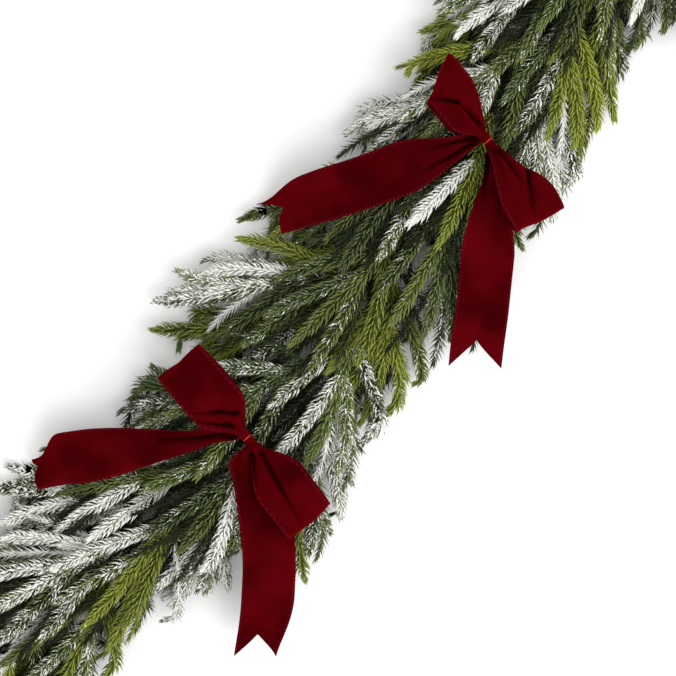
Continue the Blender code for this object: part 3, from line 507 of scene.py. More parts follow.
def loop_grid(bow, side, lengthwise, crosswise):
    """Middle surface of one loop: out along the lower layer and back along the upper one."""
    knot, down, long_axis = bow_frame(bow)
    loop = bow["left_loop"] if side > 0 else bow["right_loop"]
    angle = down + math.radians(loop["turn"])
    ahead = direction(angle)
    level = direction(angle + math.pi / 2 + math.radians(loop["skew"]))
    root = knot + long_axis * side * LOOP_ROOT
    t, u = np.meshgrid(lengthwise, crosswise, indexing="ij")
    run = loop_run(loop, t)
    half = half_wide(run, loop["gather"])
    puff = -LOOP_HEIGHT * np.sin(2 * math.pi * t) * np.sin(math.pi * t) ** 1.3
    ends = LOOP_STEP * (t - 0.5)
    crown = CROWN * (1 - u * u) * np.sin(2 * math.pi * t) * -0.8
    rise = puff + ends + crown + run * math.tan(LOOP_TILT)
    return root + run[..., None] * ahead + (u * half)[..., None] * level + rise[..., None] * UP


def grid_normals(grid):
    return unit(np.cross(np.gradient(grid, axis=0), np.gradient(grid, axis=1)))


def pleated(grid, run, u, phase):
    """The grid with lengthwise pleats that are deepest at the knot and fade out along the ribbon."""
    fade = (1 - smooth(run / PLEAT_RUN)) * smooth(run / PLEAT_START)
    wave = np.cos(PLEATS * math.pi * u + phase)
    wave += FINE_PLEAT_SHARE * np.cos(FINE_PLEATS * math.pi * u + 2 * phase)
    ripple = RIPPLE * np.sin(run * RIPPLE_PHASE_A_METRE + 2 * u + phase) * smooth(run / RIPPLE_START)
    normal = grid_normals(grid)
    normal = normal * np.where(normal[..., 2:] < 0, -1.0, 1.0)
    return grid + normal * (PLEAT_DEPTH * fade * (wave + 1.1) / 2.4 + ripple)[..., None]


def fold_share(run, across, folds):
    """How deep each point lies in the sharp valleys along the folds: 1 is where a fold starts."""
    deep = np.zeros(run.shape)
    for run_from, across_from, run_to, across_to in folds:
        way = (run_to - run_from, across_to - across_from)
        share = (run - run_from) * way[0] + (across - across_from) * way[1]
        share = np.clip(share / (way[0] ** 2 + way[1] ** 2), 0.0, 1.0)
        off = np.hypot(run - run_from - share * way[0], across - across_from - share * way[1])
        deep = np.maximum(deep, (1 - 0.6 * share) * np.exp(-(off / FOLD_WIDTH) ** 2))
    return deep


def ribbon_shell(grid, run, u, fold):
    """Points, faces and carried values of a ribbon of its real thickness, sunk along its folds."""
    points, faces = strip_mesh(grid - FOLD_DEPTH * fold[..., None] * UP, RIBBON_THICKNESS)
    values = {"rim": np.abs(u), "run": run, "fold": fold}
    return points, faces, {name: np.tile(value.reshape(-1), 2) for name, value in values.items()}


def strip_mesh(grid, thickness):
    """Points and faces of a thin solid on both sides of a grid, split alike on both faces."""
    rows, columns = grid.shape[:2]
    along = np.gradient(grid, axis=0)
    across = np.gradient(grid, axis=1)
    normal = unit(np.cross(along, across))
    both = np.concatenate([(grid + normal * thickness / 2).reshape(-1, 3),
                           (grid - normal * thickness / 2).reshape(-1, 3)])
    under = rows * columns
    faces = []
    for i in range(rows - 1):
        for j in range(columns - 1):
            a, b = i * columns + j, (i + 1) * columns + j
            faces += [(a, b, a + 1), (b, b + 1, a + 1)]
            faces += [(under + a, under + a + 1, under + b), (under + b, under + a + 1, under + b + 1)]
    rim = list(range(columns))
    rim += [i * columns + columns - 1 for i in range(1, rows)]
    rim += [(rows - 1) * columns + j for j in range(columns - 2, -1, -1)]
    rim += [i * columns for i in range(rows - 2, 0, -1)]
    for a, b in zip(rim, rim[1:] + rim[:1]):
        faces += [(a, b, under + b), (a, under + b, under + a)]
    return both, faces


def shell_places(rows):
    """Even places along and across an arm of a bow: as two lists, and as a grid of each."""
    lengthwise = np.linspace(0.0, 1.0, rows)
    crosswise = np.linspace(-1.0, 1.0, RIBBON_COLUMNS)
    return lengthwise, crosswise, *np.meshgrid(lengthwise, crosswise, indexing="ij")


def fine_tail(number, bow, side, phase):
    """One tail of a bow as a pleated shell, swung and trimmed as it has settled."""
    name = "left_tail" if side > 0 else "right_tail"
    tail = {**PLAIN, **bow[name], **SETTLED.get((number, name), {})}
    lengthwise, crosswise, t, u = shell_places(TAIL_ROWS)
    ahead = direction(bow_frame(bow)[1] + math.radians(tail["turn"]))
    trim = tail["short_prong"] * (1 + u) / 2
    trim += tail["rounded"] * np.abs(u) ** 3
    trim += tail["notch"] * (1 - np.abs(u))
    trim *= smooth((t - TRIM_START) / (1 - TRIM_START))
    grid = tail_grid({**bow, name: tail}, side, lengthwise, crosswise)
    grid += (tail["swing"] * t ** 2)[..., None] * left_of(ahead)
    grid -= trim[..., None] * ahead
    run = tail_run(tail, t, u)
    fold = fold_share(run, u * half_wide(run, tail["gather"]), FOLDS.get((number, name), TAIL_FOLDS))
    return ribbon_shell(pleated(grid, run, u, phase), run, u, fold)


def fine_loop(number, bow, side, phase):
    """One loop of a bow as a pleated shell."""
    name = "left_loop" if side > 0 else "right_loop"
    loop = {**bow[name], **SETTLED.get((number, name), {})}
    lengthwise, crosswise, t, u = shell_places(LOOP_ROWS)
    run = loop_run(loop, t)
    fold = fold_share(run, u * half_wide(run, loop["gather"]), FOLDS.get((number, name), LOOP_FOLDS))
    grid = pleated(loop_grid({**bow, name: loop}, side, lengthwise, crosswise), run, u, phase)
    return ribbon_shell(grid, t * 2 * loop["length"], u, fold)


def knot_mesh(bow, profile, sides, pleat_depth=0.0):
    """The pinched middle of the ribbon: two lobes with a waist for the tie, in close pleats or plain."""
    knot, _, axis = bow_frame(bow)
    side = left_of(axis)
    points = []
    for offset, radius in profile:
        for k in range(sides):
            angle = 2 * math.pi * k / sides
            pleat = math.cos(KNOT_PLEATS * angle + offset * KNOT_PLEAT_SLANT)
            wide = radius * (1 + pleat_depth * pleat)
            points.append(knot + axis * offset + wide * (math.cos(angle) * side + math.sin(angle) * UP))
    return np.array(points), tube_faces(len(profile), sides)


def fine_knot(bow):
    """The pinched middle of the ribbon, in close pleats, with nothing for its material to read."""
    table = np.array(KNOT_PROFILE) * KNOT_TIGHTNESS
    offsets = np.linspace(table[0][0], table[-1][0], KNOT_RINGS)
    profile = list(zip(offsets, np.interp(offsets, table[:, 0], table[:, 1])))
    points, faces = knot_mesh(bow, profile, KNOT_POINTS, KNOT_PLEAT_DEPTH)
    return points, faces, {name: np.zeros(len(points)) for name in ("rim", "run", "fold")}


def carry(made, **values):
    """Stores numbers on a mesh's points, for its material to read."""
    for name, numbers in values.items():
        stored = made.data.attributes.new(name, "FLOAT", "POINT")
        stored.data.foreach_set("value", np.asarray(numbers, np.float32))


velvet = Finish("red_velvet", 1.0)
nap = velvet.level(velvet.noise(14.0, 2.0), 0.30, 0.72)
pile = velvet.blend(nap, (0.034, 0.0003, 0.0010), (0.082, 0.0008, 0.0026))
# Painted shade: the pile turns nearly black down in the sharp folds, where shade falls.
painted_fold_shade = velvet.level(velvet.attribute("fold"), 0.15, 0.75)
pile = velvet.blend(velvet.math("MULTIPLY", painted_fold_shade, 0.92), pile, (0.004, 0.0001, 0.0002))
rim = velvet.attribute("rim")
band = velvet.math("SUBTRACT", velvet.level(rim, 0.915, 0.928), velvet.level(rim, 0.940, 0.953))
dash = velvet.level(velvet.math("FRACT", velvet.math("MULTIPLY", velvet.attribute("run"), 200.0)), 0.40, 0.52)
stitched = velvet.blend(velvet.math("MULTIPLY", band, dash), pile, (0.118, 0.006, 0.016))
velvet.colour(velvet.blend(velvet.level(rim, 0.965, 0.985), stitched, (0.080, 0.002, 0.005)))
velvet.shader.inputs["Specular IOR Level"].default_value = 0.0
velvet.shader.inputs["Sheen Weight"].default_value = 0.30
velvet.shader.inputs["Sheen Roughness"].default_value = 0.45
velvet.shader.inputs["Sheen Tint"].default_value = (0.60, 0.004, 0.012, 1.0)
velvet.bump(velvet.noise(1500.0, 2.0), 0.0002, 0.6)

for number, bow in enumerate(BOWS, start=1):
    shells = [fine_knot(bow)]
    for side in (1, -1):
        shells.append(fine_loop(number, bow, side, 0.7 * number + side))
        shells.append(fine_tail(number, bow, side, 1.3 * number - side))
    ribbon = piece(f"ribbon_{number}", [shell[:2] for shell in shells], velvet.material, "ribbon_velvet",
                   [f"bow_{number}_ribbon"])
    carry(ribbon, **{name: np.concatenate([shell[2][name] for shell in shells]) for name in shells[0][2]})

# Bow ties
# A thin red covered wire goes once round the pinch of each bow, and its two ends run down together to the
# rope under the sprays, which is how the bow is fixed on.

TIE_RADIUS = 0.0009
LEG_POINTS = 4
LEG_STEPS = 40
LEG_TWIST = 18
LEG_SPREAD = 0.7
LEG_THICKNESS = 0.8
TIE_TURNS = 1
TIE_STEPS_A_TURN = 28
TIE_WIRE_RADIUS = 0.0006


def tie_path(bow):
    """Middle line of the tie's leg, from under the ring down to the core."""
    knot = placed((bow["at"], bow["across"], 0.0))
    foot = placed((bow["at"], 0.0, 0.0))
    top = KNOT_HEIGHT - KNOT_RADIUS - GAP - TIE_RADIUS
    bottom = float(core_height(bow["at"])) + CORE_RADIUS * math.cos(math.pi / CORE_SIDES) + GAP
    share = smooth(np.linspace(0, 1, LEG_POINTS))
    points = knot + (foot - knot) * share[:, None]
    points[:, 2] = np.linspace(top, bottom, LEG_POINTS)
    return points


def tie_winding(bow):
    """The turns of wire round the pinch."""
    knot, _, axis = bow_frame(bow)
    side = left_of(axis)
    share = np.linspace(0, 1, TIE_TURNS * TIE_STEPS_A_TURN + 1)
    around = 2 * math.pi * TIE_TURNS * share - math.pi / 2
    reach = KNOT_RADIUS * KNOT_TIGHTNESS + TIE_WIRE_RADIUS
    path = (knot + reach * (np.cos(around)[:, None] * side + np.sin(around)[:, None] * UP)
            + ((share - 0.5) * 2 * TIE_WIRE_RADIUS * TIE_TURNS)[:, None] * axis)
    return tube(path, TIE_WIRE_RADIUS, 8)


def tie_legs(bow):
    """The two wire ends, twisted together, from the pinch down to the rope."""
    route = tie_path(bow)
    share = np.linspace(0, 1, LEG_STEPS)
    marks = np.linspace(0, 1, LEG_POINTS)
    middle = np.stack([np.interp(share, marks, route[:, k]) for k in range(3)], axis=1)
    legs = []
    for turn in (0.0, math.pi):
        angle = turn + share * LEG_TWIST
        offset = LEG_SPREAD * TIE_RADIUS * np.stack([np.cos(angle), np.sin(angle), angle * 0], axis=1)
        legs.append(tube(middle + offset, TIE_RADIUS * LEG_THICKNESS, 6))
    return legs


tie_finish = Finish("red_tie_wire", 0.35)
tie_finish.colour(tie_finish.blend(tie_finish.noise(400.0), (0.55, 0.010, 0.012), (0.75, 0.030, 0.025)))
tie_finish.bump(tie_finish.noise(1500.0), 0.0001)
for number, bow in enumerate(BOWS, start=1):
    piece(f"tie_{number}", [tie_winding(bow)] + tie_legs(bow), tie_finish.material, "tie_wire",
          [f"bow_{number}_tie"])

# Where the sprays grow
# The sprays are twisted on to the rope one after another from the +X end, each turned a golden part of a
# turn from the last, and bent to fill a flat round section, clear of each other and of the bows.

ROOT_GAP = 0.0004
SPRAYS = 45
ROOT_FIRST = 0.855
ROOT_LAST = -0.735
CROWDED_START = 1.13
REACH_AT = (-0.60, -0.49, -0.42, -0.35, -0.28, -0.22, -0.15, -0.07, 0.02, 0.12, 0.24, 0.33, 0.42, 0.56)
LEFT_REACH = (0.138, 0.160, 0.150, 0.128, 0.124, 0.158, 0.190, 0.162, 0.148, 0.118, 0.107, 0.126, 0.136,
              0.138)
RIGHT_REACH = (0.118, 0.086, 0.100, 0.140, 0.168, 0.150, 0.103, 0.106, 0.136, 0.132, 0.120, 0.112, 0.102,
               0.132)
RISE = 0.073
DROP = 0.040
SAG = 0.036
WIDEST_ANGLE = math.radians(99)
GOLDEN_PART = 0.618034
SPRAY_LENGTH = 0.203
FORWARD_SHARE = 0.80
SPRAY_SWAY = 0.014
SAG_EASE = 1.6
RADIAL_EASE = 1.25
FAN_LEVEL = 0.55
PATH_STEP = 0.005
FORKS = (0.034, 0.078)
FORK_LENGTH = 0.008
SIDE_FRONDS = ((0.138, math.radians(38)), (0.124, math.radians(23)))
STRAIGHTENING = 0.45
OUTERMOST = 1.12
LOWEST_STEM = 0.0011
STEM_RADIUS = 0.0027
LAYOUT_SEED = 28
FIRST_TURN = 0.31
MAIN_TRIES = 40
FIRST_FREEDOM = 0.5
FREEDOM_A_TRY = 1 / 6
ROOT_SHIFT = 0.006
ANGLE_SHIFT = math.radians(6)
SPRAY_LENGTHS = (0.93, 1.05)
SPRAY_REACHES = (0.93, 1.08)
SIDE_TRIES = 24
SIDE_TURNS = (0.85, 1.15)
SIDE_TURN_A_TRY = math.radians(1)
SIDE_LIFTS = (-0.05, 0.06)
SIDE_LIFT_A_TRY = 0.0125
SIDE_LENGTHS = (0.92, 1.08)
RIBBON_MARKS = 31
RIBBON_CROSS_MARKS = 7
CORE_MARK = 0.004
LEG_MARKS = 9
CORE_EXTRA = 0.0017
LEG_EXTRA = -0.001
MAIN_SKIP = 4
SIDE_SKIP = 2
LEAST_POINTS = 6
STEM_CLEAR = 0.0085
STEM_LEAST = 0.0066
RIBBON_CLEAR = 0.0055
RIBBON_LEAST = 0.0050
UNDER_RIBBON = 0.0095
BESIDE_RIBBON = 0.010
BESIDE_RIBBON_RISE = 0.9
FAR_FROM_RIBBON = 0.03


def root_distance(root, outward):
    """Distance from the core's axis at which a spray's root ring just clears the core's flat sides."""
    half_side = math.pi / CORE_SIDES
    angle = math.atan2(outward[0], outward[1])
    off_flat = abs((angle + half_side) % (2 * half_side) - half_side)
    surface = CORE_RADIUS * math.cos(half_side - off_flat)
    rise = abs(core_height(root + STEM_RADIUS) - core_height(root - STEM_RADIUS)) / (2 * STEM_RADIUS)
    slope = rise * abs(outward[1])
    return surface * math.hypot(1, slope) + STEM_RADIUS * slope + ROOT_GAP


def ribbon_pieces(bow):
    """Meshes of the knot and the four arms of a bow, as points and faces."""
    pieces = [knot_mesh(bow, KNOT_PROFILE, KNOT_SIDES)]
    for side in (1, -1):
        pieces.append(strip_mesh(loop_grid(bow, side, LOOP_STATIONS, ACROSS), RIBBON_THICKNESS))
        pieces.append(strip_mesh(tail_grid(bow, side, TAIL_STATIONS, ACROSS), RIBBON_THICKNESS))
    return pieces


def ceiling(points, over, clear):
    """Greatest heights for stems or needles at these places, clear under the ribbon points over them."""
    near = np.linalg.norm(points[:, None, :2] - over[None, :, :2], axis=2)
    beside = np.maximum(0.0, near - BESIDE_RIBBON)
    return (over[None, :, 2] - clear + BESIDE_RIBBON_RISE * beside).min(axis=1)


class Obstacles:
    """The ribbons as one surface and as sample points, and the legs of the ties."""

    def __init__(self):
        points, faces = joined(part for bow in BOWS for part in ribbon_pieces(bow))
        self.tree = BVHTree.FromPolygons([Vector(p) for p in points], faces)
        self.legs = [tie_path(bow) for bow in BOWS]
        lengthwise = np.linspace(0.0, 1.0, RIBBON_MARKS)
        crosswise = np.linspace(-1.0, 1.0, RIBBON_CROSS_MARKS)
        samples = []
        for bow in BOWS:
            for side in (1, -1):
                samples.append(tail_grid(bow, side, lengthwise, crosswise).reshape(-1, 3))
                samples.append(loop_grid(bow, side, lengthwise, crosswise).reshape(-1, 3))
        self.samples = np.concatenate(samples)

    def distance(self, point):
        """Distance from a point to the nearest ribbon."""
        found = self.tree.find_nearest(Vector(point), FAR_FROM_RIBBON)
        return found[3] if found[3] is not None else FAR_FROM_RIBBON


def half_width(along, across):
    """How far the sprays reach at a place along the garland, on the side that across points to."""
    left, right = np.interp(along, REACH_AT, LEFT_REACH), np.interp(along, REACH_AT, RIGHT_REACH)
    return np.where(np.asarray(across) > 0, left, right)


def main_path(root, angle, length, reach, sway):
    """Points (along, across, height) from the core to the tip of a spray's main frond."""
    vertical = RISE if math.cos(angle) > 0 else DROP
    wide = float(half_width(root - FORWARD_SHARE * length, math.sin(angle)))
    rim = np.array([wide * math.sin(angle), vertical * math.cos(angle)])
    far = float(np.linalg.norm(rim)) * reach
    outward = unit(rim)
    count = round(length / PATH_STEP)
    u = np.linspace(0, 1, count + 1)
    start = root_distance(root, outward)
    radial = start + (far - start) * (1 - (1 - u) ** RADIAL_EASE)
    step = length / count
    forward = np.sqrt(np.maximum(step ** 2 - np.diff(radial) ** 2, (0.3 * step) ** 2))
    along = root - running_total(forward)
    drift = sway * u ** SAG_EASE
    across = radial * outward[0] + drift * outward[1]
    base = float(core_height(root)) + (CORE_HEIGHT - float(core_height(root))) * smooth(u / 0.6)
    sag = SAG * math.sin(angle) ** 2 * u ** SAG_EASE
    return np.stack([along, across, base + radial * outward[1] - drift * outward[0] - sag], axis=1)


def fan_frames(path, angle):
    """Tangent and upward normal at each point of a spray's main path."""
    tangent = unit(np.gradient(path, axis=0))
    vertical = RISE if math.cos(angle) > 0 else DROP
    wide = float(half_width(path[-1][0], math.sin(angle)))
    skin = unit([0.0, math.sin(angle) / wide, abs(math.cos(angle)) / vertical])
    normal = unit(skin * (1 - FAN_LEVEL) + np.array([0, 0, FAN_LEVEL]))
    normal = normal - tangent * (tangent @ normal)[:, None]
    return tangent, unit(normal)


def side_path(path, frames, fork, side, turn, length, lift):
    """Points of a side frond, which leaves the main stem at the fork and bends back towards its direction."""
    tangent, normal = frames
    count = round(length / PATH_STEP)
    start = stem_place(fork + FORK_LENGTH / 2)
    points = [path[start]]
    for i in range(count):
        j = min(start + i, len(path) - 1)
        right = np.cross(tangent[j], normal[j])
        angle = turn * (1 - STRAIGHTENING * i / count)
        ahead = unit(math.cos(angle) * tangent[j] + side * math.sin(angle) * right + lift * normal[j])
        points.append(points[-1] + PATH_STEP * ahead)
    return np.array(points)


def stem_place(distance):
    """Place in a main path of the point at a distance from its root."""
    return round(distance / PATH_STEP)


def settled(path, obstacles):
    """World points of a path, kept inside the garland's section, above the surface and under the ribbons."""
    path = path.copy()
    centre = CORE_HEIGHT
    vertical = np.where(path[:, 2] > centre, RISE, DROP)
    share = np.hypot(path[:, 1] / half_width(path[:, 0], path[:, 1]), (path[:, 2] - centre) / vertical)
    pull = np.where(share > OUTERMOST, OUTERMOST / np.maximum(share, 1e-9), 1.0)
    path[:, 1] *= pull
    path[:, 2] = centre + (path[:, 2] - centre) * pull
    world = placed(path)
    limit = ceiling(world, obstacles.samples, UNDER_RIBBON)
    change = np.minimum(world[:, 2], limit) - world[:, 2]
    kernel = np.array([0.25, 0.5, 0.25])
    eased = np.convolve(np.pad(change, 1, mode="edge"), kernel, mode="valid")
    eased[0] = 0.0
    world[:, 2] = np.maximum(world[:, 2] + np.minimum(eased, change * 0.999), LOWEST_STEM)
    return world


class Stems:
    """All stem points placed so far, for keeping new stems clear of them."""

    def __init__(self, obstacles):
        self.obstacles = obstacles
        core = np.arange(CORE_ENDS[0], CORE_ENDS[1], CORE_MARK)
        points = placed(np.stack([core, core * 0, core_height(core)], axis=1))
        runs = [np.linspace(a, b, LEG_MARKS) for leg in obstacles.legs for a, b in zip(leg, leg[1:])]
        self.legs = np.concatenate(runs)
        self.points = np.concatenate([points, self.legs])
        self.extra = np.concatenate([np.full(len(points), CORE_EXTRA), np.full(len(self.legs), LEG_EXTRA)])

    def least_gap(self, world, skip):
        """Smallest clear distance of a path beyond its first points, less what thicker neighbours need."""
        tested = world[skip:]
        apart = np.linalg.norm(tested[:, None, :] - self.points[None, :, :], axis=2) - self.extra[None, :]
        from_legs = np.linalg.norm(world[1:, None, :] - self.legs[None, :, :], axis=2)
        return float(min(apart.min(), from_legs.min()))

    def ribbon_gap(self, world):
        return min(self.obstacles.distance(p) for p in world[::2])

    def add(self, world):
        self.points = np.concatenate([self.points, world])
        self.extra = np.concatenate([self.extra, np.zeros(len(world))])


def best_of(trials, stems, skip):
    """The first trial whose path keeps clear of everything, or the one that comes nearest to it."""
    best, best_score = None, -1.0
    for trial in trials:
        world = trial[-1]
        score = min(stems.least_gap(world, skip) / STEM_CLEAR, stems.ribbon_gap(world) / RIBBON_CLEAR)
        if score > best_score:
            best, best_score = trial, score
        if score >= 1:
            break
    return best, best_score * STEM_CLEAR


def cut_clear(world, stems, skip):
    """The path, ended just before it would come too near a stem or ribbon."""
    shortest = skip + LEAST_POINTS
    for end in range(shortest, len(world)):
        near = np.linalg.norm(stems.points - world[end], axis=1) - stems.extra
        if near.min() < STEM_LEAST or stems.obstacles.distance(world[end]) < RIBBON_LEAST:
            return world[:max(end - 2, shortest - 1)]
    return world


def main_trials(root_place, facing, rng, obstacles):
    """Paths for the main frond of a spray, with its angle round the core, each looser than the last."""
    for attempt in range(MAIN_TRIES):
        loose = FIRST_FREEDOM + attempt * FREEDOM_A_TRY
        root = root_place + rng.uniform(-ROOT_SHIFT, ROOT_SHIFT) * loose
        angle = facing + rng.uniform(-ANGLE_SHIFT, ANGLE_SHIFT) * loose
        length = SPRAY_LENGTH * rng.uniform(*SPRAY_LENGTHS)
        reach = rng.uniform(*SPRAY_REACHES)
        path = main_path(root, angle, length, reach, rng.uniform(-SPRAY_SWAY, SPRAY_SWAY))
        yield path, angle, settled(path, obstacles)


def side_trials(path, frames, fork, side, size, rng, obstacles):
    """Paths for a side frond of a spray, each looser than the last."""
    length, turn = size
    for attempt in range(SIDE_TRIES):
        bent = turn * rng.uniform(*SIDE_TURNS) + rng.uniform(-SIDE_TURN_A_TRY, SIDE_TURN_A_TRY) * attempt
        lift = rng.uniform(*SIDE_LIFTS) + rng.uniform(-SIDE_LIFT_A_TRY, SIDE_LIFT_A_TRY) * attempt
        span = length * rng.uniform(*SIDE_LENGTHS)
        yield (settled(side_path(path, frames, fork, side, bent, span, lift), obstacles),)


def lay_out_spray(number, rng, stems):
    """One spray: its main path and four side paths in world coordinates, and the frames of its main stem."""
    root_place = ROOT_FIRST + (ROOT_LAST - ROOT_FIRST) * (number / (SPRAYS - 1)) ** CROWDED_START
    share = (number * GOLDEN_PART + FIRST_TURN) % 1.0
    facing = -WIDEST_ANGLE + 2 * WIDEST_ANGLE * share
    trials = main_trials(root_place, facing, rng, stems.obstacles)
    (path, angle, main), gap = best_of(trials, stems, MAIN_SKIP)
    if gap < STEM_LEAST:
        main = cut_clear(main, stems, MAIN_SKIP)
    frames = fan_frames(path, angle)
    axis_point = placed((path[0][0], 0.0, float(core_height(path[0][0]))))
    spray = {"outward": unit(main[0] - axis_point), "main": main, "sides": [],
             "path": path, "frames": frames}
    for fork, size in zip(FORKS, SIDE_FRONDS):
        for side in (1, -1):
            trials = side_trials(path, frames, fork, side, size, rng, stems.obstacles)
            (world,), gap = best_of(trials, stems, SIDE_SKIP)
            world[0] = main[stem_place(fork + FORK_LENGTH / 2)]
            if gap < STEM_LEAST:
                world = cut_clear(world, stems, SIDE_SKIP)
            spray["sides"].append({"fork": fork, "side": side, "path": world})
    return spray


def lay_out_sprays():
    """Every spray, laid out from the +X end, where the later ones keep clear of the earlier ones."""
    rng = random.Random(LAYOUT_SEED)
    obstacles = Obstacles()
    stems = Stems(obstacles)
    sprays = []
    for number in range(SPRAYS):
        spray = lay_out_spray(number, rng, stems)
        stems.add(spray["main"])
        for side in spray["sides"]:
            stems.add(side["path"])
        sprays.append(spray)
    return sprays, obstacles


sprays, obstacles = lay_out_sprays()

# Pine sprays
# Each spray is moulded plastic on a wire: a main frond and side fronds with needles all round, longest at the
# sides, which curve forward. Flock is sprayed on from above: a light frost on most, a thick crust on some.

# Where the flocked and the lime fronds lie, each place as (along, across, reach).
FLOCKED_PLACES = (
    (0.35, 0.05, 0.040), (0.40, 0.04, 0.035), (0.28, -0.09, 0.035), (0.24, -0.10, 0.035), (0.20, 0.10, 0.045),
    (0.24, 0.09, 0.035), (-0.10, 0.18, 0.045), (-0.09, 0.13, 0.035), (-0.04, 0.14, 0.030),
    (-0.05, 0.03, 0.022), (-0.12, 0.00, 0.028), (-0.17, -0.03, 0.032), (-0.18, -0.08, 0.035),
    (-0.46, 0.08, 0.050), (-0.42, 0.02, 0.050), (-0.51, 0.06, 0.050), (-0.56, 0.10, 0.040),
    (-0.38, -0.08, 0.040), (-0.34, -0.07, 0.030), (-0.04, -0.12, 0.025), (0.12, -0.01, 0.025),
    (0.55, -0.03, 0.050), (0.62, -0.08, 0.040), (0.72, 0.04, 0.045), (-0.64, 0.00, 0.050),
    (-0.72, 0.06, 0.045),
)
LIME_PLACES = (
    (-0.03, -0.04, 0.045), (-0.08, -0.04, 0.030), (0.15, -0.03, 0.030), (0.37, -0.05, 0.045),
    (0.34, -0.11, 0.040), (0.31, 0.10, 0.040), (-0.05, -0.09, 0.035), (-0.27, -0.15, 0.045),
    (-0.45, -0.05, 0.050), (-0.52, -0.07, 0.050), (-0.19, 0.13, 0.050), (-0.20, 0.02, 0.020),
    (0.00, 0.10, 0.035), (0.62, 0.07, 0.060), (0.80, -0.02, 0.050), (-0.70, -0.08, 0.050),
)
PLACE_SHARE = 0.6
OUTER_REACH = 0.085
FROND_STEM = 0.0016
STEM_TIP_SHARE = 0.45
MAIN_BARE = 0.012
SIDE_BARE = 0.004
NEEDLE_LENGTH = 0.0180
NEEDLE_LENGTHS = (0.86, 1.10)
NEEDLE_RADIUS = 0.00125
NEEDLE_PITCH = 0.00076
FEWEST_NEEDLES = 12
TOP_NEEDLE_SHARE = 0.76
TIP_SHORTENING = 0.40
ROOT_NEEDLE_SHARE = 0.75
TOP_LEAN = 36
SIDE_LEAN = 15
TIP_CLOSING = 0.62
LEAN_CHANCE = 0.12
TURN_CHANCE = 0.35
NEEDLE_CURVE = 0.45
TONE_CHANCE = 0.12
FLOCK_THICKNESS = 0.45
GOLDEN_TURN = math.radians(137.5)
UNDER_SIDE = 0.002
NEAR_NEEDLES = 0.02
LEAST_HEIGHT = 0.0003

# Inner fronds, each pair as (distance along the main stem, angle in degrees, length, lift).
TWIGS = ((0.012, 70, 0.100, -0.10), (0.020, 30, 0.120, -0.50), (0.030, 56, 0.122, -0.32),
         (0.052, 46, 0.130, -0.42), (0.064, 20, 0.115, -0.55), (0.074, 34, 0.126, -0.15),
         (0.098, 30, 0.115, -0.38), (0.125, 22, 0.100, -0.25))
TWIG_PITCH = 1.6
TWIG_TURNS = (0.75, 1.2)
TWIG_LENGTHS = (0.85, 1.15)
TWIG_LIFTS = (-0.12, 0.12)
TWIG_EASE = 8
TRIANGLE = ((0, 1), (1, 2), (2, 0))

# Tips of the long fronds at the garland's edge, each as (along, across).
EDGE_TIPS = (
    (-0.185, 0.200), (-0.130, 0.205), (-0.160, 0.195), (-0.220, 0.180), (-0.255, 0.150), (-0.025, 0.180),
    (-0.490, 0.170), (-0.530, 0.160), (-0.505, 0.140), (-0.435, -0.095), (-0.395, -0.110), (-0.370, -0.125),
    (-0.300, -0.180), (-0.245, -0.160), (0.335, -0.140), (0.360, -0.115), (0.250, -0.130), (0.145, -0.135),
    (0.295, 0.125),
)
EDGE_LENGTH = 0.135
EDGE_HEIGHT = 0.035
EDGE_POINTS = 24
EDGE_NEEDLES = 0.010


def stations(path, distances):
    """Points and directions of a path at distances from its start."""
    run = running_total(np.linalg.norm(np.diff(path, axis=0), axis=1))
    tangents = unit(np.gradient(path, axis=0))
    place = np.stack([np.interp(distances, run, path[:, k]) for k in range(3)], axis=1)
    ahead = np.stack([np.interp(distances, run, tangents[:, k]) for k in range(3)], axis=1)
    return place, unit(ahead), run[-1]


def needle_lines(path, up, bare, chance, pitch):
    """Root, bend and tip of every needle beyond the bare part of a frond's stem."""
    length = stations(path, np.zeros(1))[2]
    count = max(FEWEST_NEEDLES, int((length - bare) / pitch))
    share = (np.arange(count) + 0.5) / count
    place, ahead, _ = stations(path, bare + share * (length - bare))
    over = unit(up - ahead * (ahead @ up)[:, None])
    right = np.cross(ahead, over)
    angle = np.arange(count) * GOLDEN_TURN + chance.uniform(-TURN_CHANCE, TURN_CHANCE, count)
    flat = np.abs(np.sin(angle))
    out = np.cos(angle)[:, None] * over + np.sin(angle)[:, None] * right
    taper = 1 - TIP_SHORTENING * smooth((share - 0.72) / 0.28)
    size = NEEDLE_LENGTH * (TOP_NEEDLE_SHARE + (1 - TOP_NEEDLE_SHARE) * flat)
    size *= taper * chance.uniform(*NEEDLE_LENGTHS, count)
    size *= ROOT_NEEDLE_SHARE + (1 - ROOT_NEEDLE_SHARE) * smooth(share / 0.12)
    lean = np.radians(TOP_LEAN + SIDE_LEAN * flat) * (1 - TIP_CLOSING * smooth((share - 0.80) / 0.20))
    lean += chance.uniform(-LEAN_CHANCE, LEAN_CHANCE, count)
    first = np.cos(lean)[:, None] * ahead + np.sin(lean)[:, None] * out
    lean *= NEEDLE_CURVE
    second = np.cos(lean)[:, None] * ahead + np.sin(lean)[:, None] * out
    root = place + out * FROND_STEM * 0.4
    bend = root + first * (size * 0.5)[:, None]
    return root, bend, bend + second * (size * 0.5)[:, None]


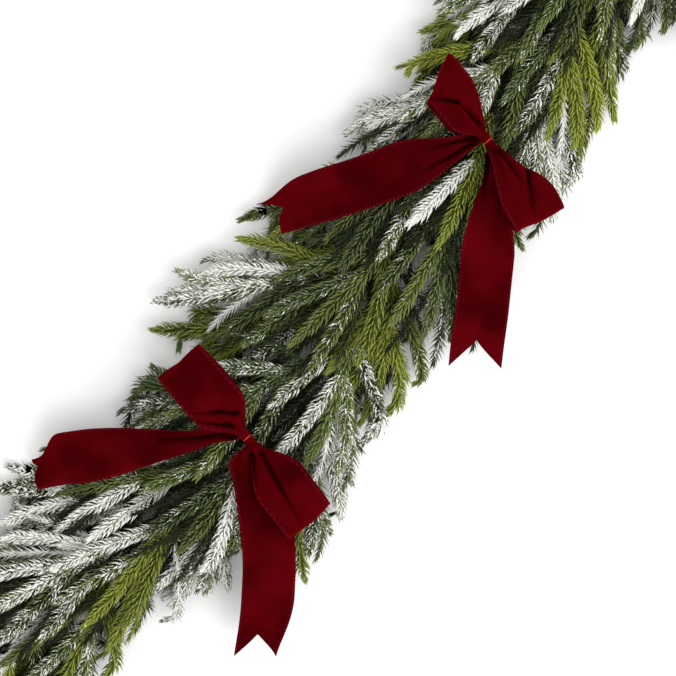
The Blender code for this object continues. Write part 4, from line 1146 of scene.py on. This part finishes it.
def needle_blades(lines, radius, straight):
    """Points, faces and shares along the needle of three-sided needles; the straight ones have no bend."""
    root, bend, tip = lines
    first = unit(bend - root)
    across = unit(np.cross(first, tip - root + UP * 1e-5))
    depth = np.cross(first, across)
    rings = ((root, 1.0),) if straight else ((root, 0.85), (bend, 1.0))
    corners = []
    for centre, wide in rings:
        corners += ring(centre, radius * wide, across, depth, 3)
    start = np.arange(len(root)) * (len(corners) + 1)
    last = start + len(corners) - 3
    faces = []
    if not straight:
        for a, b in TRIANGLE:
            faces += np.stack([start + a, start + b, start + b + 3, start + a + 3], axis=1).tolist()
    for a, b in TRIANGLE:
        faces += np.stack([last + a, last + b, last + 3], axis=1).tolist()
    shares = [0.0] * 3 + ([] if straight else [0.5] * 3) + [1.0]
    return np.stack(corners + [tip], axis=1).reshape(-1, 3), faces, np.tile(shares, len(root))


def frond(path, up, bare, chance, inner, snow):
    """Points, faces, shares along the needle and needle tones of a frond: a tapered stem and its needles."""
    stem, stem_faces = tube(path, np.linspace(FROND_STEM, FROND_STEM * STEM_TIP_SHARE, len(path)), 3)
    pitch = NEEDLE_PITCH * (TWIG_PITCH if inner else 1.0)
    lines = needle_lines(path, up, bare, chance, pitch)
    radius = NEEDLE_RADIUS * (1 + FLOCK_THICKNESS * max(snow, 0.0))
    needles, needle_faces, shares = needle_blades(lines, radius, inner)
    faces = stem_faces + [tuple(len(stem) + k for k in face) for face in needle_faces]
    tones = chance.uniform(-TONE_CHANCE, TONE_CHANCE, len(lines[0]))
    tones = np.repeat(tones, len(needles) // len(tones))
    bare_stem = np.zeros(len(stem))
    return (np.concatenate([stem, needles]), faces, np.concatenate([bare_stem, shares]),
            np.concatenate([bare_stem, tones]))


def kept_in(points):
    """Needle points kept on the table and under the ribbons."""
    low, high = points.min(axis=0)[:2] - NEAR_NEEDLES, points.max(axis=0)[:2] + NEAR_NEEDLES
    over = obstacles.samples
    over = over[((over[:, :2] > low) & (over[:, :2] < high)).all(axis=1)]
    if len(over):
        tall = np.flatnonzero(points[:, 2] > over[:, 2].min() - 1.5 * UNDER_SIDE)
        for some in np.array_split(tall, len(tall) // 1000 + 1):
            points[some, 2] = np.minimum(points[some, 2], ceiling(points[some], over, UNDER_SIDE))
    points[:, 2] = np.maximum(points[:, 2], LEAST_HEIGHT)
    return points


def kind_of_place(world):
    """Flocked, lime or dark, by where a frond lies."""
    for kind, places in (("flocked", FLOCKED_PLACES), ("lime", LIME_PLACES)):
        for along, across, reach in places:
            centre = placed((along, across, 0.0))
            if math.hypot(world[0] - centre[0], world[1] - centre[1]) < reach:
                return kind
    return "dark"


def needle_finish(name):
    """Moulded needle plastic, dark to lime green, with painted shade at the roots and on hidden fronds, a
    paler tip that is partly painted highlight, and flock on what faces up.
    """
    made = Finish(name, 0.5)
    lime, along = made.attribute("lime"), made.attribute("along")
    # Painted shade: the colour darkens towards each needle's root, and hidden fronds carry darker tones as
    # painted shade; the rest of the tone differs at random.
    tone_and_painted_shade = made.level(made.math("ADD", made.attribute("tone_and_painted_shade"), made.math("MULTIPLY", along, 0.70)), 0.0, 1.4)
    dark = made.blend(tone_and_painted_shade, (0.0030, 0.0062, 0.0014), (0.083, 0.122, 0.040))
    fresh = made.blend(tone_and_painted_shade, (0.022, 0.032, 0.0025), (0.250, 0.290, 0.024))
    # The pale tip is partly the needles' paler tip colour and partly painted highlight; it shows less on
    # darker fronds and not on the hidden ones.
    tip = made.blend(lime, (0.285, 0.315, 0.125), (0.540, 0.580, 0.130))
    plain = made.blend(lime, dark, fresh)
    lit = made.math("MULTIPLY", made.level(made.attribute("tone_and_painted_shade"), -0.15, 0.45), 0.62)
    plain = made.blend(made.math("MULTIPLY", made.level(along, 0.30, 1.0), lit), plain, tip)
    facing = made.nodes.new("ShaderNodeSeparateXYZ")
    made.links.new(made.nodes.new("ShaderNodeNewGeometry").outputs["Normal"], facing.inputs[0])
    upward = made.math("MULTIPLY", facing.outputs[2], 0.30)
    patches = made.math("ADD", made.noise(420.0, 2.0), made.math("MULTIPLY", made.noise(60.0, 1.0), 0.60))
    flock = made.math("ADD", made.math("ADD", patches, upward), made.attribute("snow"))
    cover = made.level(flock, 1.42, 1.56)
    made.colour(made.blend(cover, plain, (0.86, 0.87, 0.81)))
    made.put(made.shader.inputs["Roughness"], made.math("ADD", made.math("MULTIPLY", cover, 0.4), 0.5))
    made.shader.inputs["Specular IOR Level"].default_value = 0.25
    made.bump(made.noise(1400.0, 2.0), 0.0003, 0.5)
    return made.material


NEEDLE_SLOTS = ("needle_dark", "needle_lime", "needle_flocked")
needle_finishes = {slot: needle_finish(slot + "_moulded") for slot in NEEDLE_SLOTS}
spray_slots = {subpart["node"]: subpart["material_slot"] for subpart in frame["record"]["subparts"]}


def twig_paths(spray, chance):
    """Short fronds lower down on the main stem, which fill the inside of the garland."""
    paths = []
    for fork, turn, length, drop in TWIGS:
        if stem_place(fork) + 4 >= len(spray["main"]):
            continue
        for side in (1, -1):
            bent = math.radians(turn) * chance.uniform(*TWIG_TURNS)
            long = length * chance.uniform(*TWIG_LENGTHS)
            lift = drop + chance.uniform(*TWIG_LIFTS)
            path = side_path(spray["path"], spray["frames"], fork, side, bent, long, lift)
            world = settled(path, obstacles)
            apart = spray["main"][stem_place(fork + FORK_LENGTH / 2)] - world[0]
            world += apart * ((1 - np.minimum(np.arange(len(world)) / TWIG_EASE, 1.0)) ** 2)[:, None]
            paths.append(world)
    return paths


def edge_paths():
    """Long fronds out to the furthest tips of the outline, by the number of the spray they grow from."""
    grown = {}
    for along, across in EDGE_TIPS:
        tip = placed((along, across, EDGE_HEIGHT))
        best = None
        for number, spray in enumerate(sprays, start=1):
            main = spray["main"]
            for place in range(4, len(main) - 2):
                reach = float(np.linalg.norm(tip - main[place]))
                ahead = unit(main[place + 1] - main[place - 1])
                aside = 1 - ahead @ (tip - main[place]) / reach
                cost = abs(reach - EDGE_LENGTH) / EDGE_LENGTH + 1.5 * aside
                if best is None or cost < best[0]:
                    best = (cost, number, main[place], ahead, reach)
        _, number, root, ahead, reach = best
        end = root + (tip - root) * (1 - EDGE_NEEDLES / reach)
        share = np.linspace(0.0, 1.0, EDGE_POINTS)[:, None]
        bend = root + ahead * reach * 0.5
        path = (1 - share) ** 2 * root + 2 * share * (1 - share) * bend + share ** 2 * end
        grown.setdefault(number, []).append(path)
    return grown


edge_fronds = edge_paths()


def off_centre(world):
    """How far a place is from the garland's centre line."""
    return float(np.hypot(LINE[1] - world[0], LINE[2] - world[1]).min())


FIRST_SPRAY_SEED = 100
INNER_FLOCK = (-0.35, -0.05)
CRUSTS = (0.46, 0.56, 0.65, 0.76)
LIME_FLOCK = (0.0, 0.12)
FROSTS = (0.04, 0.16, 0.27, 0.40)
LIME_GREENS = (0.75, 1.0)
DEEP_GREENS = (0.0, 0.30)
# Tones of the fronds hidden inside the garland are darker, as painted shade.
INNER_PAINTED_SHADE_TONES = (-0.2, 0.12)
OUTER_TONES = (0.1, 0.9)
NEEDLE_FLOCK_SHARE = 0.9


def flock_amount(kind, hidden, chance):
    """How heavily a frond is flocked: 0 is bare, and 0.7 is a thick crust."""
    if hidden:
        return chance.uniform(*INNER_FLOCK)
    if kind == "flocked":
        return chance.choice(CRUSTS)
    if kind == "lime":
        return chance.uniform(*LIME_FLOCK)
    return chance.choice(FROSTS)


def lime_amount(kind, hidden, chance):
    """How lime green a frond is: 0 is deep green."""
    return chance.uniform(*(LIME_GREENS if kind == "lime" and not hidden else DEEP_GREENS))


def spray_fronds(number, spray, chance):
    """Every frond of a spray: its path, the bare part of its stem, and whether it fills the inside."""
    fronds = [(spray["main"], MAIN_BARE, False)]
    fronds += [(side["path"], SIDE_BARE, False) for side in spray["sides"]]
    fronds += [(path, SIDE_BARE, True) for path in twig_paths(spray, chance)]
    return fronds + [(path, SIDE_BARE, False) for path in edge_fronds.get(number, [])]


for number, spray in enumerate(sprays, start=1):
    chance = np.random.RandomState(FIRST_SPRAY_SEED + number)
    node = f"spray_{number:02d}"
    normal = spray["frames"][1][len(spray["main"]) // 2]
    parts, carried = [], {"along": [], "tone_and_painted_shade": [], "snow": [], "lime": []}
    for path, bare, inner in spray_fronds(number, spray, chance):
        kind = kind_of_place(path[int(len(path) * PLACE_SHARE)])
        hidden = inner and off_centre(path[-1]) < OUTER_REACH
        snow, lime = flock_amount(kind, hidden, chance), lime_amount(kind, hidden, chance)
        points, faces, shares, tones = frond(path, normal, bare, chance, inner, snow)
        parts.append((kept_in(points), faces))
        carried["along"].append(shares)
        # Fronds hidden inside the garland get darker tones as painted shade.
        carried["tone_and_painted_shade"].append(tones + chance.uniform(*(INNER_PAINTED_SHADE_TONES if hidden else OUTER_TONES)))
        carried["snow"].append(tones * NEEDLE_FLOCK_SHARE + snow)
        carried["lime"].append(np.full(len(points), lime))
    slot = spray_slots[node]
    made = piece(f"pine_{number:02d}", parts, needle_finishes[slot], slot, [node], aligned=True)
    carry(made, **{name: np.concatenate(values) for name, values in carried.items()})

# Table, light and camera
# The garland lies on a plain white surface under a large soft light from the lower right of the picture. The
# camera looks straight down through a long lens, turned so that the middle two bows stand as in the photo.

PICTURE_PIXELS = 676
BOW_PIXELS = ((247.0, 438.0), (488.0, 141.0))
CAMERA_ABOVE = 2.6
SENSOR = 36.0

table_finish = Finish("white_table", 0.8)
table_finish.colour(table_finish.blend(table_finish.noise(6.0), (0.90, 0.90, 0.90), (0.93, 0.93, 0.93)))
bpy.ops.mesh.primitive_plane_add(size=14.0, location=(0.0, 0.0, -0.0005))
table = bpy.context.object
table.name = "white_table"
table.data.materials.append(table_finish.material)

lower_bow = bow_frame(BOWS[1])[0]
upper_bow = bow_frame(BOWS[2])[0]
row_step = (upper_bow - lower_bow)[:2]
pixel_step = np.array([BOW_PIXELS[1][0] - BOW_PIXELS[0][0], BOW_PIXELS[0][1] - BOW_PIXELS[1][1]])
metres_a_pixel = float(np.linalg.norm(row_step) / np.linalg.norm(pixel_step))
turn = math.atan2(row_step[1], row_step[0]) - math.atan2(pixel_step[1], pixel_step[0])
picture_right = direction(turn)
picture_up = left_of(picture_right)
off_middle = (PICTURE_PIXELS / 2 - BOW_PIXELS[0][0], BOW_PIXELS[0][1] - PICTURE_PIXELS / 2)
target = lower_bow + metres_a_pixel * (off_middle[0] * picture_right + off_middle[1] * picture_up)

camera_data = bpy.data.cameras.new("camera")
camera_data.sensor_width = SENSOR
camera_data.lens = SENSOR * CAMERA_ABOVE / (metres_a_pixel * PICTURE_PIXELS)
camera_data.clip_end = 50.0
camera = put_in_scene("camera", camera_data)
camera.location = target + UP * CAMERA_ABOVE
camera.rotation_euler = (0.0, 0.0, turn)
bpy.context.scene.camera = camera


def soft_light(name, offset, height, size, watts):
    """A square lamp that shines at the middle of the picture."""
    data = bpy.data.lights.new(name, "AREA")
    data.size = size
    data.energy = watts
    lamp = put_in_scene(name, data)
    lamp.location = target + offset[0] * picture_right + offset[1] * picture_up + UP * height
    lamp.rotation_euler = Vector(target - np.array(lamp.location)).to_track_quat("-Z", "Y").to_euler()


soft_light("window", (1.5, -1.3), 3.0, 2.6, 88.0)
soft_light("ceiling", (0.0, 0.3), 3.2, 3.0, 32.0)
world = bpy.data.worlds.new("studio")
world.use_nodes = True
world.node_tree.nodes["Background"].inputs["Color"].default_value = (1.0, 1.0, 1.0, 1.0)
world.node_tree.nodes["Background"].inputs["Strength"].default_value = 0.76
bpy.context.scene.world = world
bpy.context.scene.view_settings.view_transform = "Standard"
